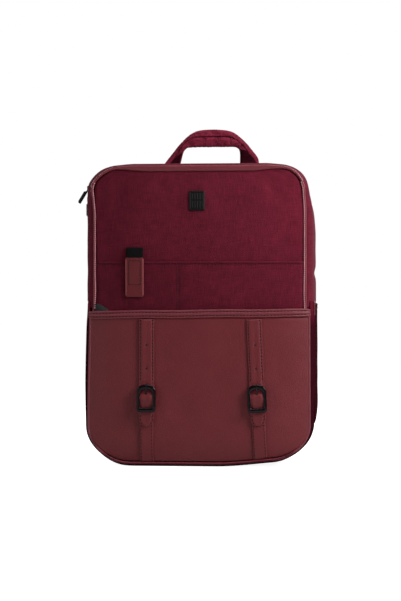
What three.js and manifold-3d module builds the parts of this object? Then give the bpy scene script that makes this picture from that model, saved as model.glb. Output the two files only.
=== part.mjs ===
// Travel backpack in woven fabric with a leather front pocket, as separate sewn and moulded pieces.
// Millimetres, +Z up, X across the bag, the front faces -Y. The origin is on the floor under the bag.
// Depths are counted from the front panel's outer face; the last group moves that face to frontFaceY.

import * as THREE from 'three';
import Module from 'manifold-3d';
import { mergeVertices } from 'three/addons/utils/BufferGeometryUtils.js';

const wasm = await Module();
wasm.setup();

// ---------------------------------------------------------------- driving dimensions

const frontFaceY = -64; // where the front panel's outer face lies, so that the whole bag is centred on Y
const gap = 0.4; // air between touching pieces

const bodyTop = 395;
const bodyDepth = 115;
const foldZ = 215; // the upper front folds forward here
const gussetWall = 3;

// outlines of the bag seen from the front
const frontOutline = { half: 143, low: 4.5, high: bodyTop, topRadius: 33, lowRadius: 46 };
const zipOutline = { half: 146, low: 0, high: bodyTop, topRadius: 31, lowRadius: 48 };
const lowerOutline = { half: 143.5, low: 0, high: bodyTop, topRadius: 35, lowRadius: 48 };
const liningOutline = { half: 139.8, low: 3.6, high: 391, topRadius: 30, lowRadius: 43 };

const panelThickness = 3.5;
const pipingWidth = 6;
const topBandHeight = 9;
const pipingProud = 1.5;

// zip, counted back from the front face
const zipCentreY = 28;
const chainGap = 0.7; // half the space between the two coils
const coilWidth = 2.4;
const coilThickness = 2.6;
const tapeWidth = 6.3;
const tapeThickness = 1.2;

const sliderLength = 12;
const sliderWidth = 10;
const sliderPlate = 1.4;
const sliderUpperZ = bodyTop - zipOutline.topRadius; // where the chain starts to turn over the top
const sliderLowerZ = sliderUpperZ - 14.5;
const pullLength = 23;
const pullWidth = 5;
const pullThickness = 2.6;
const pullLean = THREE.MathUtils.degToRad(32);

// leather front pocket
const pocketTop = 203;
const hemHeight = 10.8;
const pocketEdgeBulge = 2;
const pocketBulge = 9;
const leather = 1.6;
const pocketRim = 3;

// straps with buckles on the front pocket
const strapWidth = 19.4;
const strapThickness = 1.6;
const strapTipZ = 52;
const strapTopZ = 191.3;
const holeZ = [158, 128];
const holeRadius = 1.7;
const chapeWidth = 18;
const buckle = { width: 24.6, low: 71, high: 107, bar: 5, side: 2.3, front: -19.3, back: -16.3 };
const centreBar = { y: -13.8, z: 89, radius: 1.2 };
const prongWidth = 2.4;
const strapPlaces = [
  { side: 'left', x: -67.5, lean: 0 },
  { side: 'right', x: 71.5, lean: THREE.MathUtils.degToRad(-2.5) },
];

// slip pocket, tab and badge on the upper front
const slipTop = 266;
const slipHalf = 135;
const tab = { x: -84, width: 22, low: 220, joint: 271, high: 284.5 };
const badge = { x: -3, z: 345.5, width: 20.7, height: 26.8 };

// side pockets
const sidePocket = { outer: 151.5, wall: 1.2, front: 36, back: 98, low: 52, high: 205, hem: 7 };
const zipGarageFront = 20;
const zipGarageLow = 196;

// grab handle
const handle = {
  outer: 64, inner: 40, low: bodyTop + 1.2, high: 448, band: 23.5, centreY: 105, thick: 12, thin: 4,
};

// carrying side
const padFront = bodyDepth + gap;
const padDepth = 9;
const shoulder = { topX: 62, lowX: 96, width: 58, thickness: 11 };
const lockTopZ = 132;
const lock = { width: 34, height: 26, thickness: 3.4, bar: 3.4, side: 4 };
const webbingWidth = 25;
const webbingThickness = 1.6;

// ---------------------------------------------------------------- solids

function toSolid(geometry) {
  const bare = geometry.clone();
  bare.deleteAttribute('normal');
  bare.deleteAttribute('uv');
  const merged = mergeVertices(bare, 1e-4);
  return new wasm.Manifold(new wasm.Mesh({
    numProp: 3,
    vertProperties: new Float32Array(merged.attributes.position.array),
    triVerts: new Uint32Array(merged.index.array),
  }));
}

function toGeometry(solid) {
  const mesh = solid.getMesh();
  const geometry = new THREE.BufferGeometry();
  geometry.setAttribute('position', new THREE.BufferAttribute(mesh.vertProperties, mesh.numProp));
  geometry.setIndex(new THREE.BufferAttribute(mesh.triVerts, 1));
  return geometry;
}

function join(first, ...others) {
  return toGeometry(others.reduce((solid, other) => solid.add(toSolid(other)), toSolid(first)));
}

function cut(first, ...others) {
  return toGeometry(others.reduce((solid, other) => solid.subtract(toSolid(other)), toSolid(first)));
}

function common(first, second) {
  return toGeometry(toSolid(first).intersect(toSolid(second)));
}

function box(x0, x1, y0, y1, z0, z1) {
  const geometry = new THREE.BoxGeometry(x1 - x0, y1 - y0, z1 - z0);
  return geometry.translate((x0 + x1) / 2, (y0 + y1) / 2, (z0 + z1) / 2);
}

// a shape drawn in X and Z, as seen from the front, made solid from y0 back to y1
function frontSlab(shape, y0, y1, curveSegments = 8) {
  const geometry = new THREE.ExtrudeGeometry(shape, { depth: y1 - y0, bevelEnabled: false, curveSegments });
  return geometry.rotateX(Math.PI / 2).translate(0, y1, 0);
}

// a shape drawn in Y and Z, as seen from the side, made solid from x0 to x1
function sideSlab(shape, x0, x1, curveSegments = 8) {
  const geometry = new THREE.ExtrudeGeometry(shape, { depth: x1 - x0, bevelEnabled: false, curveSegments });
  const sideways = new THREE.Matrix4().makeBasis(
    new THREE.Vector3(0, 1, 0), new THREE.Vector3(0, 0, 1), new THREE.Vector3(1, 0, 0),
  );
  return geometry.applyMatrix4(sideways).translate(x0, 0, 0);
}

// a shape drawn in X and Y, as seen from above, made solid from z0 to z1
function plan(shape, z0, z1) {
  const geometry = new THREE.ExtrudeGeometry(shape, { depth: z1 - z0, bevelEnabled: false });
  return geometry.translate(0, 0, z0);
}

function cylinderX(radius, x0, x1, y, z, sides = 16) {
  const geometry = new THREE.CylinderGeometry(radius, radius, x1 - x0, sides);
  return geometry.rotateZ(Math.PI / 2).translate((x0 + x1) / 2, y, z);
}

function cylinderY(radius, x, y0, y1, z, sides = 12) {
  const geometry = new THREE.CylinderGeometry(radius, radius, y1 - y0, sides);
  return geometry.translate(x, (y0 + y1) / 2, z);
}

// a band of even thickness along a smooth line through the given [y, z] or [x, y] points
function ribbon(points, thickness, steps = 24) {
  const line = new THREE.SplineCurve(points.map(([a, b]) => new THREE.Vector2(a, b)));
  const left = [];
  const right = [];
  for (let i = 0; i <= steps; i += 1) {
    const at = line.getPoint(i / steps);
    const along = line.getTangent(i / steps);
    const across = new THREE.Vector2(-along.y, along.x).multiplyScalar(thickness / 2);
    left.push(at.clone().add(across));
    right.unshift(at.clone().sub(across));
  }
  return new THREE.Shape([...left, ...right]);
}

function roundedRectangle(x0, x1, z0, z1, radius) {
  const shape = new THREE.Shape();
  shape.moveTo(x0 + radius, z0);
  shape.lineTo(x1 - radius, z0);
  shape.absarc(x1 - radius, z0 + radius, radius, -Math.PI / 2, 0, false);
  shape.lineTo(x1, z1 - radius);
  shape.absarc(x1 - radius, z1 - radius, radius, 0, Math.PI / 2, false);
  shape.lineTo(x0 + radius, z1);
  shape.absarc(x0 + radius, z1 - radius, radius, Math.PI / 2, Math.PI, false);
  shape.lineTo(x0, z0 + radius);
  shape.absarc(x0 + radius, z0 + radius, radius, Math.PI, Math.PI * 1.5, false);
  return shape;
}

// the upper part of an outline, above z, drawn from right to left over the top
function overTop(outline, inset, topInset, z, path) {
  const half = outline.half - inset;
  const high = outline.high - topInset;
  const radius = outline.topRadius - inset;
  path.lineTo(half, z);
  path.lineTo(half, high - radius);
  path.absarc(half - radius, high - radius, radius, 0, Math.PI / 2, false);
  path.lineTo(-half + radius, high);
  path.absarc(-half + radius, high - radius, radius, Math.PI / 2, Math.PI, false);
  path.lineTo(-half, z);
}

// the same line drawn back from left to right
function backOverTop(outline, inset, topInset, z, path) {
  const half = outline.half - inset;
  const high = outline.high - topInset;
  const radius = outline.topRadius - inset;
  path.lineTo(-half, z);
  path.lineTo(-half, high - radius);
  path.absarc(-half + radius, high - radius, radius, Math.PI, Math.PI / 2, true);
  path.lineTo(half - radius, high);
  path.absarc(half - radius, high - radius, radius, Math.PI / 2, 0, true);
  path.lineTo(half, z);
}

// an arch that follows an outline over the top, between two insets
function archShape(outline, outerInset, innerInset, z, topInset = innerInset) {
  const shape = new THREE.Shape();
  shape.moveTo(outline.half - outerInset, z);
  overTop(outline, outerInset, outerInset, z, shape);
  backOverTop(outline, innerInset, topInset, z, shape);
  return shape;
}

function upperPanelShape(outline, inset, topInset, z) {
  const shape = new THREE.Shape();
  shape.moveTo(outline.half - inset, z);
  overTop(outline, inset, topInset, z, shape);
  return shape;
}

// a cup that follows an outline round the bottom, between two insets, below z
function cupShape(outline, outerInset, innerInset, z) {
  const shape = new THREE.Shape();
  const outer = { half: outline.half - outerInset, low: outline.low + outerInset };
  const inner = { half: outline.half - innerInset, low: outline.low + innerInset };
  outer.radius = outline.lowRadius - outerInset;
  inner.radius = outline.lowRadius - innerInset;
  shape.moveTo(-outer.half, z);
  shape.lineTo(-outer.half, outer.low + outer.radius);
  shape.absarc(-outer.half + outer.radius, outer.low + outer.radius, outer.radius, Math.PI, Math.PI * 1.5, false);
  shape.lineTo(outer.half - outer.radius, outer.low);
  shape.absarc(outer.half - outer.radius, outer.low + outer.radius, outer.radius, -Math.PI / 2, 0, false);
  shape.lineTo(outer.half, z);
  shape.lineTo(inner.half, z);
  shape.lineTo(inner.half, inner.low + inner.radius);
  shape.absarc(inner.half - inner.radius, inner.low + inner.radius, inner.radius, 0, -Math.PI / 2, true);
  shape.lineTo(-inner.half + inner.radius, inner.low);
  shape.absarc(-inner.half + inner.radius, inner.low + inner.radius, inner.radius, -Math.PI / 2, -Math.PI, true);
  shape.lineTo(-inner.half, z);
  return shape;
}

function lowerPanelShape(outline, inset, z) {
  const shape = new THREE.Shape();
  const half = outline.half - inset;
  const low = outline.low + inset;
  const radius = outline.lowRadius - inset;
  shape.moveTo(-half, z);
  shape.lineTo(-half, low + radius);
  shape.absarc(-half + radius, low + radius, radius, Math.PI, Math.PI * 1.5, false);
  shape.lineTo(half - radius, low);
  shape.absarc(half - radius, low + radius, radius, -Math.PI / 2, 0, false);
  shape.lineTo(half, z);
  return shape;
}

function wholeShape(outline, inset) {
  const shape = lowerPanelShape(outline, inset, foldZ);
  overTop(outline, inset, inset, foldZ, shape);
  return shape;
}

// ---------------------------------------------------------------- materials

const finish = (color, roughness, metalness = 0) => () => new THREE.MeshStandardMaterial({
  color, roughness, metalness,
});
const burgundyFabric = finish('#591b28', 0.9);
const burgundyLeather = finish('#5b2a2d', 0.45);
const blackFabric = finish('#161416', 0.9);
const blackWebbing = finish('#141414', 0.8);
const blackPlastic = finish('#101010', 0.5);
const airMesh = finish('#2b1218', 0.95);
const gunmetal = finish('#1c191a', 0.22, 1);
const zipCoil = finish('#1a0d10', 0.6);
const boardPlastic = finish('#26262a', 0.7);

function piece(name, geometry, material) {
  const mesh = new THREE.Mesh(geometry, material());
  mesh.name = name;
  return mesh;
}

function group(...children) {
  const holder = new THREE.Group();
  holder.add(...children);
  return holder;
}

// ---------------------------------------------------------------- body shell

const gussetFront = panelThickness + 1;
const gussetBack = bodyDepth - 6.5;
const coilFront = zipCentreY - chainGap - coilWidth;
const coilBack = zipCentreY + chainGap;
const upperCut = foldZ + 0.5;
const lowerCut = foldZ - 0.5;

function shell() {
  const tapeBack = coilBack + coilWidth + 0.3;
  const rearStart = tapeBack + tapeWidth + 0.3;
  const coilInset = 0.2;
  const tapeInset = 0.9;
  const lining = join(
    frontSlab(archShape(liningOutline, 0, 0.8, foldZ), rearStart + 1, bodyDepth - 8),
    frontSlab(cupShape(liningOutline, 0, 0.8, foldZ), rearStart + 1, bodyDepth - 8),
    frontSlab(wholeShape(liningOutline, 0), bodyDepth - 8.4, bodyDepth - 7.4),
  );
  return group(
    piece('back_panel', frontSlab(wholeShape(lowerOutline, 0), bodyDepth - 6, bodyDepth), burgundyFabric),
    piece('bottom_gusset',
      frontSlab(cupShape(lowerOutline, 0, gussetWall, lowerCut), gussetFront, gussetBack), burgundyFabric),
    piece('zip_gusset_rear',
      frontSlab(archShape(zipOutline, 0, gussetWall, upperCut), rearStart, gussetBack), burgundyFabric),
    piece('zip_tape_rear',
      frontSlab(archShape(zipOutline, tapeInset, tapeInset + tapeThickness, upperCut), tapeBack,
        tapeBack + tapeWidth), blackFabric),
    piece('zip_coil_rear',
      frontSlab(archShape(zipOutline, coilInset, coilInset + coilThickness, upperCut), coilBack,
        coilBack + coilWidth), zipCoil),
    piece('front_panel_lower', frontSlab(lowerPanelShape(frontOutline, pipingWidth + gap, lowerCut), 0,
      panelThickness), burgundyFabric),
    piece('piping_lower', frontSlab(cupShape(frontOutline, 0, pipingWidth, lowerCut), 0, panelThickness),
      burgundyLeather),
    piece('compartment_lining', lining, blackFabric),
  );
}

function zipGarage(side, sign) {
  const inner = lowerOutline.half + gap;
  const x = [inner, inner + 1.4].map((value) => value * sign).sort((a, b) => a - b);
  const shape = box(x[0], x[1], zipGarageFront, sidePocket.front - 0.6, zipGarageLow, lowerCut);
  return piece(`zip_garage_${side}`, shape, burgundyLeather);
}

function interior() {
  const sleeve = { half: 130, low: 9, high: 290, front: 86, wall: 3.5, back: bodyDepth - 9 };
  const outer = box(-sleeve.half, sleeve.half, sleeve.front, sleeve.back, sleeve.low, sleeve.high);
  const pocket = box(-sleeve.half + sleeve.wall, sleeve.half - sleeve.wall, sleeve.front + sleeve.wall,
    sleeve.back + 1, sleeve.low + sleeve.wall, sleeve.high + 1);
  const cornerRadius = 36;
  const rounded = frontSlab(
    roundedRectangle(-sleeve.half, sleeve.half, sleeve.low, sleeve.high + cornerRadius, cornerRadius),
    sleeve.front, sleeve.back,
  );
  const strapHalf = 20;
  const strapZ = sleeve.high + 3;
  const band = 1.8;
  const over = box(-strapHalf, strapHalf, sleeve.front - gap - band, sleeve.back, strapZ, strapZ + band);
  const down = box(-strapHalf, strapHalf, sleeve.front - gap - band, sleeve.front - gap, strapZ - 42, strapZ + 1);
  return group(
    piece('laptop_sleeve', cut(common(outer, rounded), pocket), blackFabric),
    piece('sleeve_strap', join(over, down), blackWebbing),
    piece('base_board', box(-92, 92, 8, sleeve.front - 3, 5, 8), boardPlastic),
  );
}

// ---------------------------------------------------------------- leather front pocket

// how far the pocket's outer skin stands in front of the panel at x
function pocketSkin(x) {
  return -(pocketEdgeBulge + pocketBulge * (1 - (x / frontOutline.half) ** 4));
}

// the area between two lines that follow the pocket's skin, seen from above
function skinShape(half, outerOffset, innerOffset) {
  const steps = 16;
  const across = Array.from({ length: steps + 1 }, (_, i) => -half + (2 * half * i) / steps);
  const outer = across.map((x) => new THREE.Vector2(x, pocketSkin(x) + outerOffset));
  const inner = across.map((x) => new THREE.Vector2(x, innerOffset(x))).reverse();
  return new THREE.Shape([...outer, ...inner]);
}

function frontPocket() {
  const half = frontOutline.half;
  const clear = -gap;
  const top = pocketTop - hemHeight;
  const block = plan(skinShape(half, 0, () => clear), frontOutline.low, top);
  const outlineSlab = frontSlab(lowerPanelShape(frontOutline, 0, foldZ), -30, clear);
  const hollow = common(
    plan(skinShape(half - pocketRim, leather, () => 5), frontOutline.low + pocketRim, top + 1),
    frontSlab(lowerPanelShape(frontOutline, pocketRim, foldZ), -30, 6),
  );
  const liningHalf = half - 16;
  const liningSkin = skinShape(liningHalf, leather + 0.4, (x) => pocketSkin(x) + leather + 1);
  const lining = common(
    plan(liningSkin, frontOutline.low + pocketRim + 1, top - 0.5),
    frontSlab(lowerPanelShape(frontOutline, 16, foldZ), -30, 6),
  );
  const hemInside = (x) => Math.min(pocketSkin(x) + leather + 0.4, clear);
  const hem = plan(skinShape(half + 1, -0.8, hemInside), top + gap, pocketTop);
  return group(
    piece('front_pocket', cut(common(block, outlineSlab), hollow), burgundyLeather),
    piece('pocket_lining', lining, blackFabric),
    piece('pocket_hem', hem, burgundyLeather),
  );
}

// a strap whose tip is rounded, cut from a band seen from the side
function roundedTip(band, width, tipZ, high) {
  const radius = width / 2 - 0.01;
  const tip = roundedRectangle(-width / 2, width / 2, tipZ, high + width, radius);
  return common(band, frontSlab(tip, -30, 0));
}

function tongueStrap(side) {
  const lying = -11.9;
  const overChape = -13.6;
  const line = [
    [lying, strapTopZ], [lying, 150], [lying, 112], [-12.4, 105], [-14.8, 98], [-17.5, 92],
    [-17.6, 87], [-15.6, 80], [overChape - 0.2, 73], [overChape, 66], [overChape, strapTipZ],
  ];
  const band = sideSlab(ribbon(line, strapThickness, 40), -strapWidth / 2, strapWidth / 2);
  const punched = holeZ.map((z) => cylinderY(holeRadius, 0, -16, -8, z));
  const prongSlot = frontSlab(roundedRectangle(-1.7, 1.7, 89.5, 101.5, 1.69), -25, -8);
  const strap = cut(roundedTip(band, strapWidth, strapTipZ, strapTopZ), ...punched, prongSlot);
  return piece(`front_strap_${side}`, strap, burgundyLeather);
}

function chape(side) {
  const loopRadius = centreBar.radius + 0.25 + 1.2;
  const strip = box(-chapeWidth / 2, chapeWidth / 2, -12.4, -11.2, 8, centreBar.z - 1.2);
  const loop = cylinderX(loopRadius, -chapeWidth / 2, chapeWidth / 2, centreBar.y, centreBar.z, 20);
  const eye = cylinderX(centreBar.radius + 0.25, -20, 20, centreBar.y, centreBar.z, 20);
  const prongSlot = box(-2, 2, -25, -8, centreBar.z - 4.5, centreBar.z + 5);
  return piece(`buckle_chape_${side}`, cut(join(strip, loop), eye, prongSlot), burgundyLeather);
}

function archedFrame(half, low, high, lowRadius, crown) {
  const shape = new THREE.Shape();
  shape.moveTo(-half + lowRadius, low);
  shape.lineTo(half - lowRadius, low);
  shape.absarc(half - lowRadius, low + lowRadius, lowRadius, -Math.PI / 2, 0, false);
  shape.lineTo(half, high - crown);
  shape.bezierCurveTo(half, high - crown * 0.4, half * 0.62, high, 0, high);
  shape.bezierCurveTo(-half * 0.62, high, -half, high - crown * 0.4, -half, high - crown);
  shape.lineTo(-half, low + lowRadius);
  shape.absarc(-half + lowRadius, low + lowRadius, lowRadius, Math.PI, Math.PI * 1.5, false);
  return shape;
}

function buckleFrame(side) {
  const bevel = 0.9;
  const half = buckle.width / 2;
  const shape = archedFrame(half - bevel, buckle.low + bevel, buckle.high - bevel, 2.5, 9);
  const openingHalf = half - buckle.side + bevel;
  shape.holes.push(archedFrame(openingHalf, buckle.low + buckle.bar - bevel, buckle.high - buckle.bar + bevel,
    1.5, 6.5));
  const depth = buckle.back - buckle.front - 2 * bevel;
  const frame = new THREE.ExtrudeGeometry(shape, {
    depth, bevelEnabled: true, bevelThickness: bevel, bevelSize: bevel, bevelSegments: 2, curveSegments: 6,
  });
  frame.rotateX(Math.PI / 2).translate(0, buckle.back - bevel, 0);
  const lug = (sign) => {
    const x = [half - buckle.side + 0.2, half - 0.2].map((value) => value * sign).sort((a, b) => a - b);
    return box(x[0], x[1], buckle.back - 1, centreBar.y + centreBar.radius, centreBar.z - 1.6, centreBar.z + 1.6);
  };
  const bar = cylinderX(centreBar.radius, -half + 1, half - 1, centreBar.y, centreBar.z, 16);
  return piece(`buckle_frame_${side}`, join(frame, lug(-1), lug(1), bar), gunmetal);
}

function buckleProng(side) {
  const ringRadius = centreBar.radius + 1.15;
  const ring = cylinderX(ringRadius, -prongWidth / 2, prongWidth / 2, centreBar.y, centreBar.z, 20);
  const eye = cylinderX(centreBar.radius + 0.25, -5, 5, centreBar.y, centreBar.z, 20);
  const line = [[-15.4, 90.6], [-18, 95.9], [-20.3, 100.6], [-20.9, 104], [-20.8, 107.5]];
  const arm = sideSlab(ribbon(line, 1.6, 16), -prongWidth / 2, prongWidth / 2);
  return piece(`buckle_prong_${side}`, cut(join(ring, arm), eye), gunmetal);
}

function strapAssembly({ side, x, lean }) {
  const assembly = group(tongueStrap(side), chape(side), buckleFrame(side), buckleProng(side));
  assembly.rotation.y = lean;
  assembly.position.set(x - strapTopZ * Math.sin(lean), 0, strapTopZ * (1 - Math.cos(lean)));
  return assembly;
}

// ---------------------------------------------------------------- side pockets

function sidePocketPieces(side, sign) {
  const p = sidePocket;
  const inner = lowerOutline.half + gap;
  const skin = box(inner, p.outer, p.front, p.back, p.low, p.high);
  const hollow = box(inner - 1, p.outer - p.wall, p.front + p.wall, p.back - p.wall, p.low + p.wall, p.high + 1);
  const pocket = cut(skin, hollow);
  const hem = box(p.outer - p.wall - 0.4, p.outer + 0.4, p.front, p.back, p.high + gap, p.high + p.hem);
  const place = (geometry) => (sign > 0 ? geometry : geometry.rotateZ(Math.PI).translate(0, p.front + p.back, 0));
  return group(
    piece(`side_pocket_${side}`, place(pocket), burgundyFabric),
    piece(`side_pocket_hem_${side}`, place(hem), burgundyFabric),
  );
}

// ---------------------------------------------------------------- upper front, which folds open

function frontFlap() {
  const gussetEnd = coilFront - 0.3 - tapeWidth - 0.3;
  const coilInset = 0.2;
  const tapeInset = 0.9;
  const piping = archShape(frontOutline, 0, pipingWidth, upperCut, topBandHeight);
  const panel = upperPanelShape(frontOutline, pipingWidth + gap, topBandHeight + gap, upperCut);
  const slip = roundedRectangle(-slipHalf, slipHalf, upperCut + 0.5, slipTop, 1);
  const patch = roundedRectangle(badge.x - badge.width / 2, badge.x + badge.width / 2,
    badge.z - badge.height / 2, badge.z + badge.height / 2, 1.5);
  const tabLeft = tab.x - tab.width / 2;
  const tabRight = tab.x + tab.width / 2;
  return group(
    piece('front_panel_upper', frontSlab(panel, 0, panelThickness), burgundyFabric),
    piece('piping_upper', frontSlab(piping, -pipingProud, panelThickness), burgundyLeather),
    piece('zip_gusset_front',
      frontSlab(archShape(zipOutline, 0, gussetWall, upperCut), gussetFront, gussetEnd), burgundyFabric),
    piece('zip_tape_front',
      frontSlab(archShape(zipOutline, tapeInset, tapeInset + tapeThickness, upperCut), gussetEnd + 0.3,
        gussetEnd + 0.3 + tapeWidth), blackFabric),
    piece('zip_coil_front',
      frontSlab(archShape(zipOutline, coilInset, coilInset + coilThickness, upperCut), coilFront,
        coilFront + coilWidth), zipCoil),
    piece('slip_pocket', frontSlab(slip, -2, -gap, 2), burgundyFabric),
    piece('badge_patch', frontSlab(patch, -1.7, -gap, 3), blackFabric),
    piece('tab_webbing', box(tabLeft, tabRight, -4.4, -gap, tab.joint + 0.4, tab.high), blackWebbing),
    piece('tab_leather', box(tabLeft - 0.5, tabRight + 0.5, -4.8, -2.4, tab.low, tab.joint), burgundyLeather),
  );
}

// ---------------------------------------------------------------- zip sliders and pulls

// drawn on the bag's left side: the chain runs along Z and the outside is towards -X
function slider(name, z) {
  const chainOutside = -zipOutline.half + 0.2;
  const outerPlate = chainOutside - 0.5;
  const innerPlate = chainOutside + coilThickness + 1.1;
  const y0 = zipCentreY - sliderWidth / 2;
  const y1 = zipCentreY + sliderWidth / 2;
  const z0 = z - sliderLength / 2;
  const z1 = z + sliderLength / 2;
  const top = frontSlab(roundedRectangle(y0, y1, z0, z1, 3), 0, sliderPlate, 4);
  const turned = (geometry, x) => geometry.rotateZ(Math.PI / 2).translate(x, 0, 0);
  const post = box(outerPlate - 0.1, innerPlate + 0.1, zipCentreY - 0.35, zipCentreY + 0.35, z + 1, z1 - 1);
  const bridgeShape = new THREE.Shape();
  const bridgeOut = 3.9;
  bridgeShape.moveTo(0, z0 + 2);
  bridgeShape.lineTo(-bridgeOut, z0 + 3.2);
  bridgeShape.lineTo(-bridgeOut, z1 - 3.2);
  bridgeShape.lineTo(0, z1 - 2);
  const solidBridge = frontSlab(bridgeShape, zipCentreY - 1.2, zipCentreY + 1.2);
  const eye = cylinderY(1.25, -bridgeOut / 2, zipCentreY - 3, zipCentreY + 3, z, 16);
  const bridge = cut(solidBridge, eye).translate(outerPlate - sliderPlate + 0.1, 0, 0);
  return piece(name, join(
    turned(top.clone(), outerPlate),
    turned(top.clone(), innerPlate + sliderPlate),
    post,
    bridge,
  ), gunmetal);
}

function zipPull(name, z, lean) {
  const pivotX = -zipOutline.half + 0.2 - 0.5 - sliderPlate + 0.1 - 3.9 / 2;
  const pin = new THREE.CylinderGeometry(0.8, 0.8, pullWidth, 12);
  const arm = (sign) => box(-0.8, 0.8, sign * 2 - 0.5, sign * 2 + 0.5, -7, 0.8);
  const grip = roundedRectangle(-pullWidth / 2, pullWidth / 2, -pullLength, -5.5, 2.2);
  const tag = frontSlab(grip, -pullThickness / 2, pullThickness / 2, 5).rotateZ(Math.PI / 2);
  const mesh = piece(name, join(pin, arm(-1), arm(1), tag), blackPlastic);
  mesh.rotation.y = lean;
  mesh.position.set(pivotX, zipCentreY, z);
  return mesh;
}

// ---------------------------------------------------------------- grab handle

function grabHandle() {
  const h = handle;
  const shape = new THREE.Shape();
  const innerTop = h.high - h.band;
  shape.moveTo(-h.outer, h.low);
  shape.bezierCurveTo(-h.outer, h.low + 22, -h.outer + 18, h.high, -h.outer + 40, h.high);
  shape.lineTo(h.outer - 40, h.high);
  shape.bezierCurveTo(h.outer - 18, h.high, h.outer, h.low + 22, h.outer, h.low);
  shape.lineTo(h.inner, h.low);
  shape.bezierCurveTo(h.inner, innerTop - 6, h.inner - 3, innerTop, h.inner - 12, innerTop);
  shape.lineTo(-h.inner + 12, innerTop);
  shape.bezierCurveTo(-h.inner + 3, innerTop, -h.inner, innerTop - 6, -h.inner, h.low);
  const thin = h.thin / 2;
  const thick = h.thick / 2;
  const sideView = new THREE.Shape([
    new THREE.Vector2(h.centreY - thin, h.low), new THREE.Vector2(h.centreY + thin, h.low),
    new THREE.Vector2(h.centreY + thin, h.low + 12), new THREE.Vector2(h.centreY + thick, h.low + 24),
    new THREE.Vector2(h.centreY + thick, h.high), new THREE.Vector2(h.centreY - thick, h.high),
    new THREE.Vector2(h.centreY - thick, h.low + 24), new THREE.Vector2(h.centreY - thin, h.low + 12),
  ]);
  const arch = frontSlab(shape, h.centreY - thick - 1, h.centreY + thick + 1, 10);
  return piece('grab_handle', common(arch, sideSlab(sideView, -h.outer - 1, h.outer + 1)), burgundyFabric);
}

// ---------------------------------------------------------------- carrying side

function backPads() {
  const pad = (name, x0, x1, z0, z1) => piece(name,
    frontSlab(roundedRectangle(x0, x1, z0, z1, 14), padFront, padFront + padDepth, 4), airMesh);
  return group(
    pad('back_pad_left', -112, -14, 128, 340),
    pad('back_pad_right', 14, 112, 128, 340),
    pad('lumbar_pad', -76, 76, 58, 122),
    piece('strap_yoke', box(-104, 104, padFront, padFront + 3, 348, 382), burgundyFabric),
  );
}

function shoulderStrap(side, sign) {
  const s = shoulder;
  const line = [
    [bodyDepth + 10, 378], [bodyDepth + 17, 352], [bodyDepth + 27, 300], [bodyDepth + 30, 240],
    [bodyDepth + 25, 180], [bodyDepth + 15, lockTopZ + 10],
  ];
  const band = sideSlab(ribbon(line, s.thickness, 16), -s.width / 2, s.width / 2);
  const slant = (s.lowX - s.topX) / (378 - lockTopZ);
  const shear = new THREE.Matrix4().set(1, 0, -slant * sign, 0, 0, 1, 0, 0, 0, 0, 1, 0, 0, 0, 0, 1);
  band.applyMatrix4(shear).translate(sign * (s.topX + slant * 378), 0, 0);
  return piece(`shoulder_strap_${side}`, band, burgundyFabric);
}

function strapAdjuster(side, sign) {
  const x = sign * (shoulder.lowX + 3);
  const y = bodyDepth + 12;
  const low = lockTopZ - lock.height;
  const frameShape = roundedRectangle(-lock.width / 2, lock.width / 2, low, lockTopZ, 3);
  const slotHalf = lock.width / 2 - lock.side;
  const middle = (low + lockTopZ) / 2;
  frameShape.holes.push(roundedRectangle(-slotHalf, slotHalf, middle + 2.2, lockTopZ - lock.bar, 0.8));
  frameShape.holes.push(roundedRectangle(-slotHalf, slotHalf, low + lock.bar + 1, middle - 2.2, 0.8));
  const ladder = frontSlab(frameShape, y, y + lock.thickness, 3);
  ladder.translate(x, 0, 0);
  const webLine = [[bodyDepth + 4.6, 40], [bodyDepth + 6, 60], [bodyDepth + 9, 90], [bodyDepth + 10.4, middle]];
  const web = sideSlab(ribbon(webLine, webbingThickness, 10), x - webbingWidth / 2, x + webbingWidth / 2);
  const tailLine = [[y + lock.thickness + 1.4, middle], [y + lock.thickness + 1.6, 90], [y + lock.thickness, 52]];
  const tail = sideSlab(ribbon(tailLine, webbingThickness, 10), x - webbingWidth / 2, x + webbingWidth / 2);
  const wing = new THREE.Shape([
    new THREE.Vector2(sign * 84, 24), new THREE.Vector2(sign * 128, 60), new THREE.Vector2(sign * 128, 72),
    new THREE.Vector2(sign * 84, 60),
  ]);
  const barZ = lockTopZ - lock.bar / 2;
  const barY = y + lock.thickness / 2;
  const keeperX = [x - webbingWidth / 2 + 0.5, x + webbingWidth / 2 - 0.5];
  const loop = cylinderX(3.8, ...keeperX, barY, barZ, 20);
  const strip = box(...keeperX, barY - 0.7, barY + 0.7, barZ + 3.2, lockTopZ + 9.4);
  const eye = cylinderX(2.6, x - lock.width, x + lock.width, barY, barZ, 20);
  return group(
    piece(`lock_keeper_${side}`, cut(join(loop, strip), eye), blackWebbing),
    piece(`ladder_lock_${side}`, ladder, blackPlastic),
    piece(`strap_webbing_${side}`, web, blackWebbing),
    piece(`webbing_tail_${side}`, tail, blackWebbing),
    piece(`strap_wing_${side}`, frontSlab(wing, padFront, padFront + 2.6), burgundyFabric),
  );
}

// ---------------------------------------------------------------- assembly

const sides = [['left', -1], ['right', 1]];
const bag = group(
  shell(),
  interior(),
  frontPocket(),
  ...strapPlaces.map(strapAssembly),
  ...sides.map(([side, sign]) => zipGarage(side, sign)),
  ...sides.map(([side, sign]) => sidePocketPieces(side, sign)),
  frontFlap(),
  slider('zip_slider_upper', sliderUpperZ),
  slider('zip_slider_lower', sliderLowerZ),
  zipPull('zip_pull_upper', sliderUpperZ, pullLean),
  zipPull('zip_pull_lower', sliderLowerZ, 0),
  grabHandle(),
  backPads(),
  ...sides.map(([side, sign]) => shoulderStrap(side, sign)),
  ...sides.map(([side, sign]) => strapAdjuster(side, sign)),
);
bag.position.y = frontFaceY;

export default bag;
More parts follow.
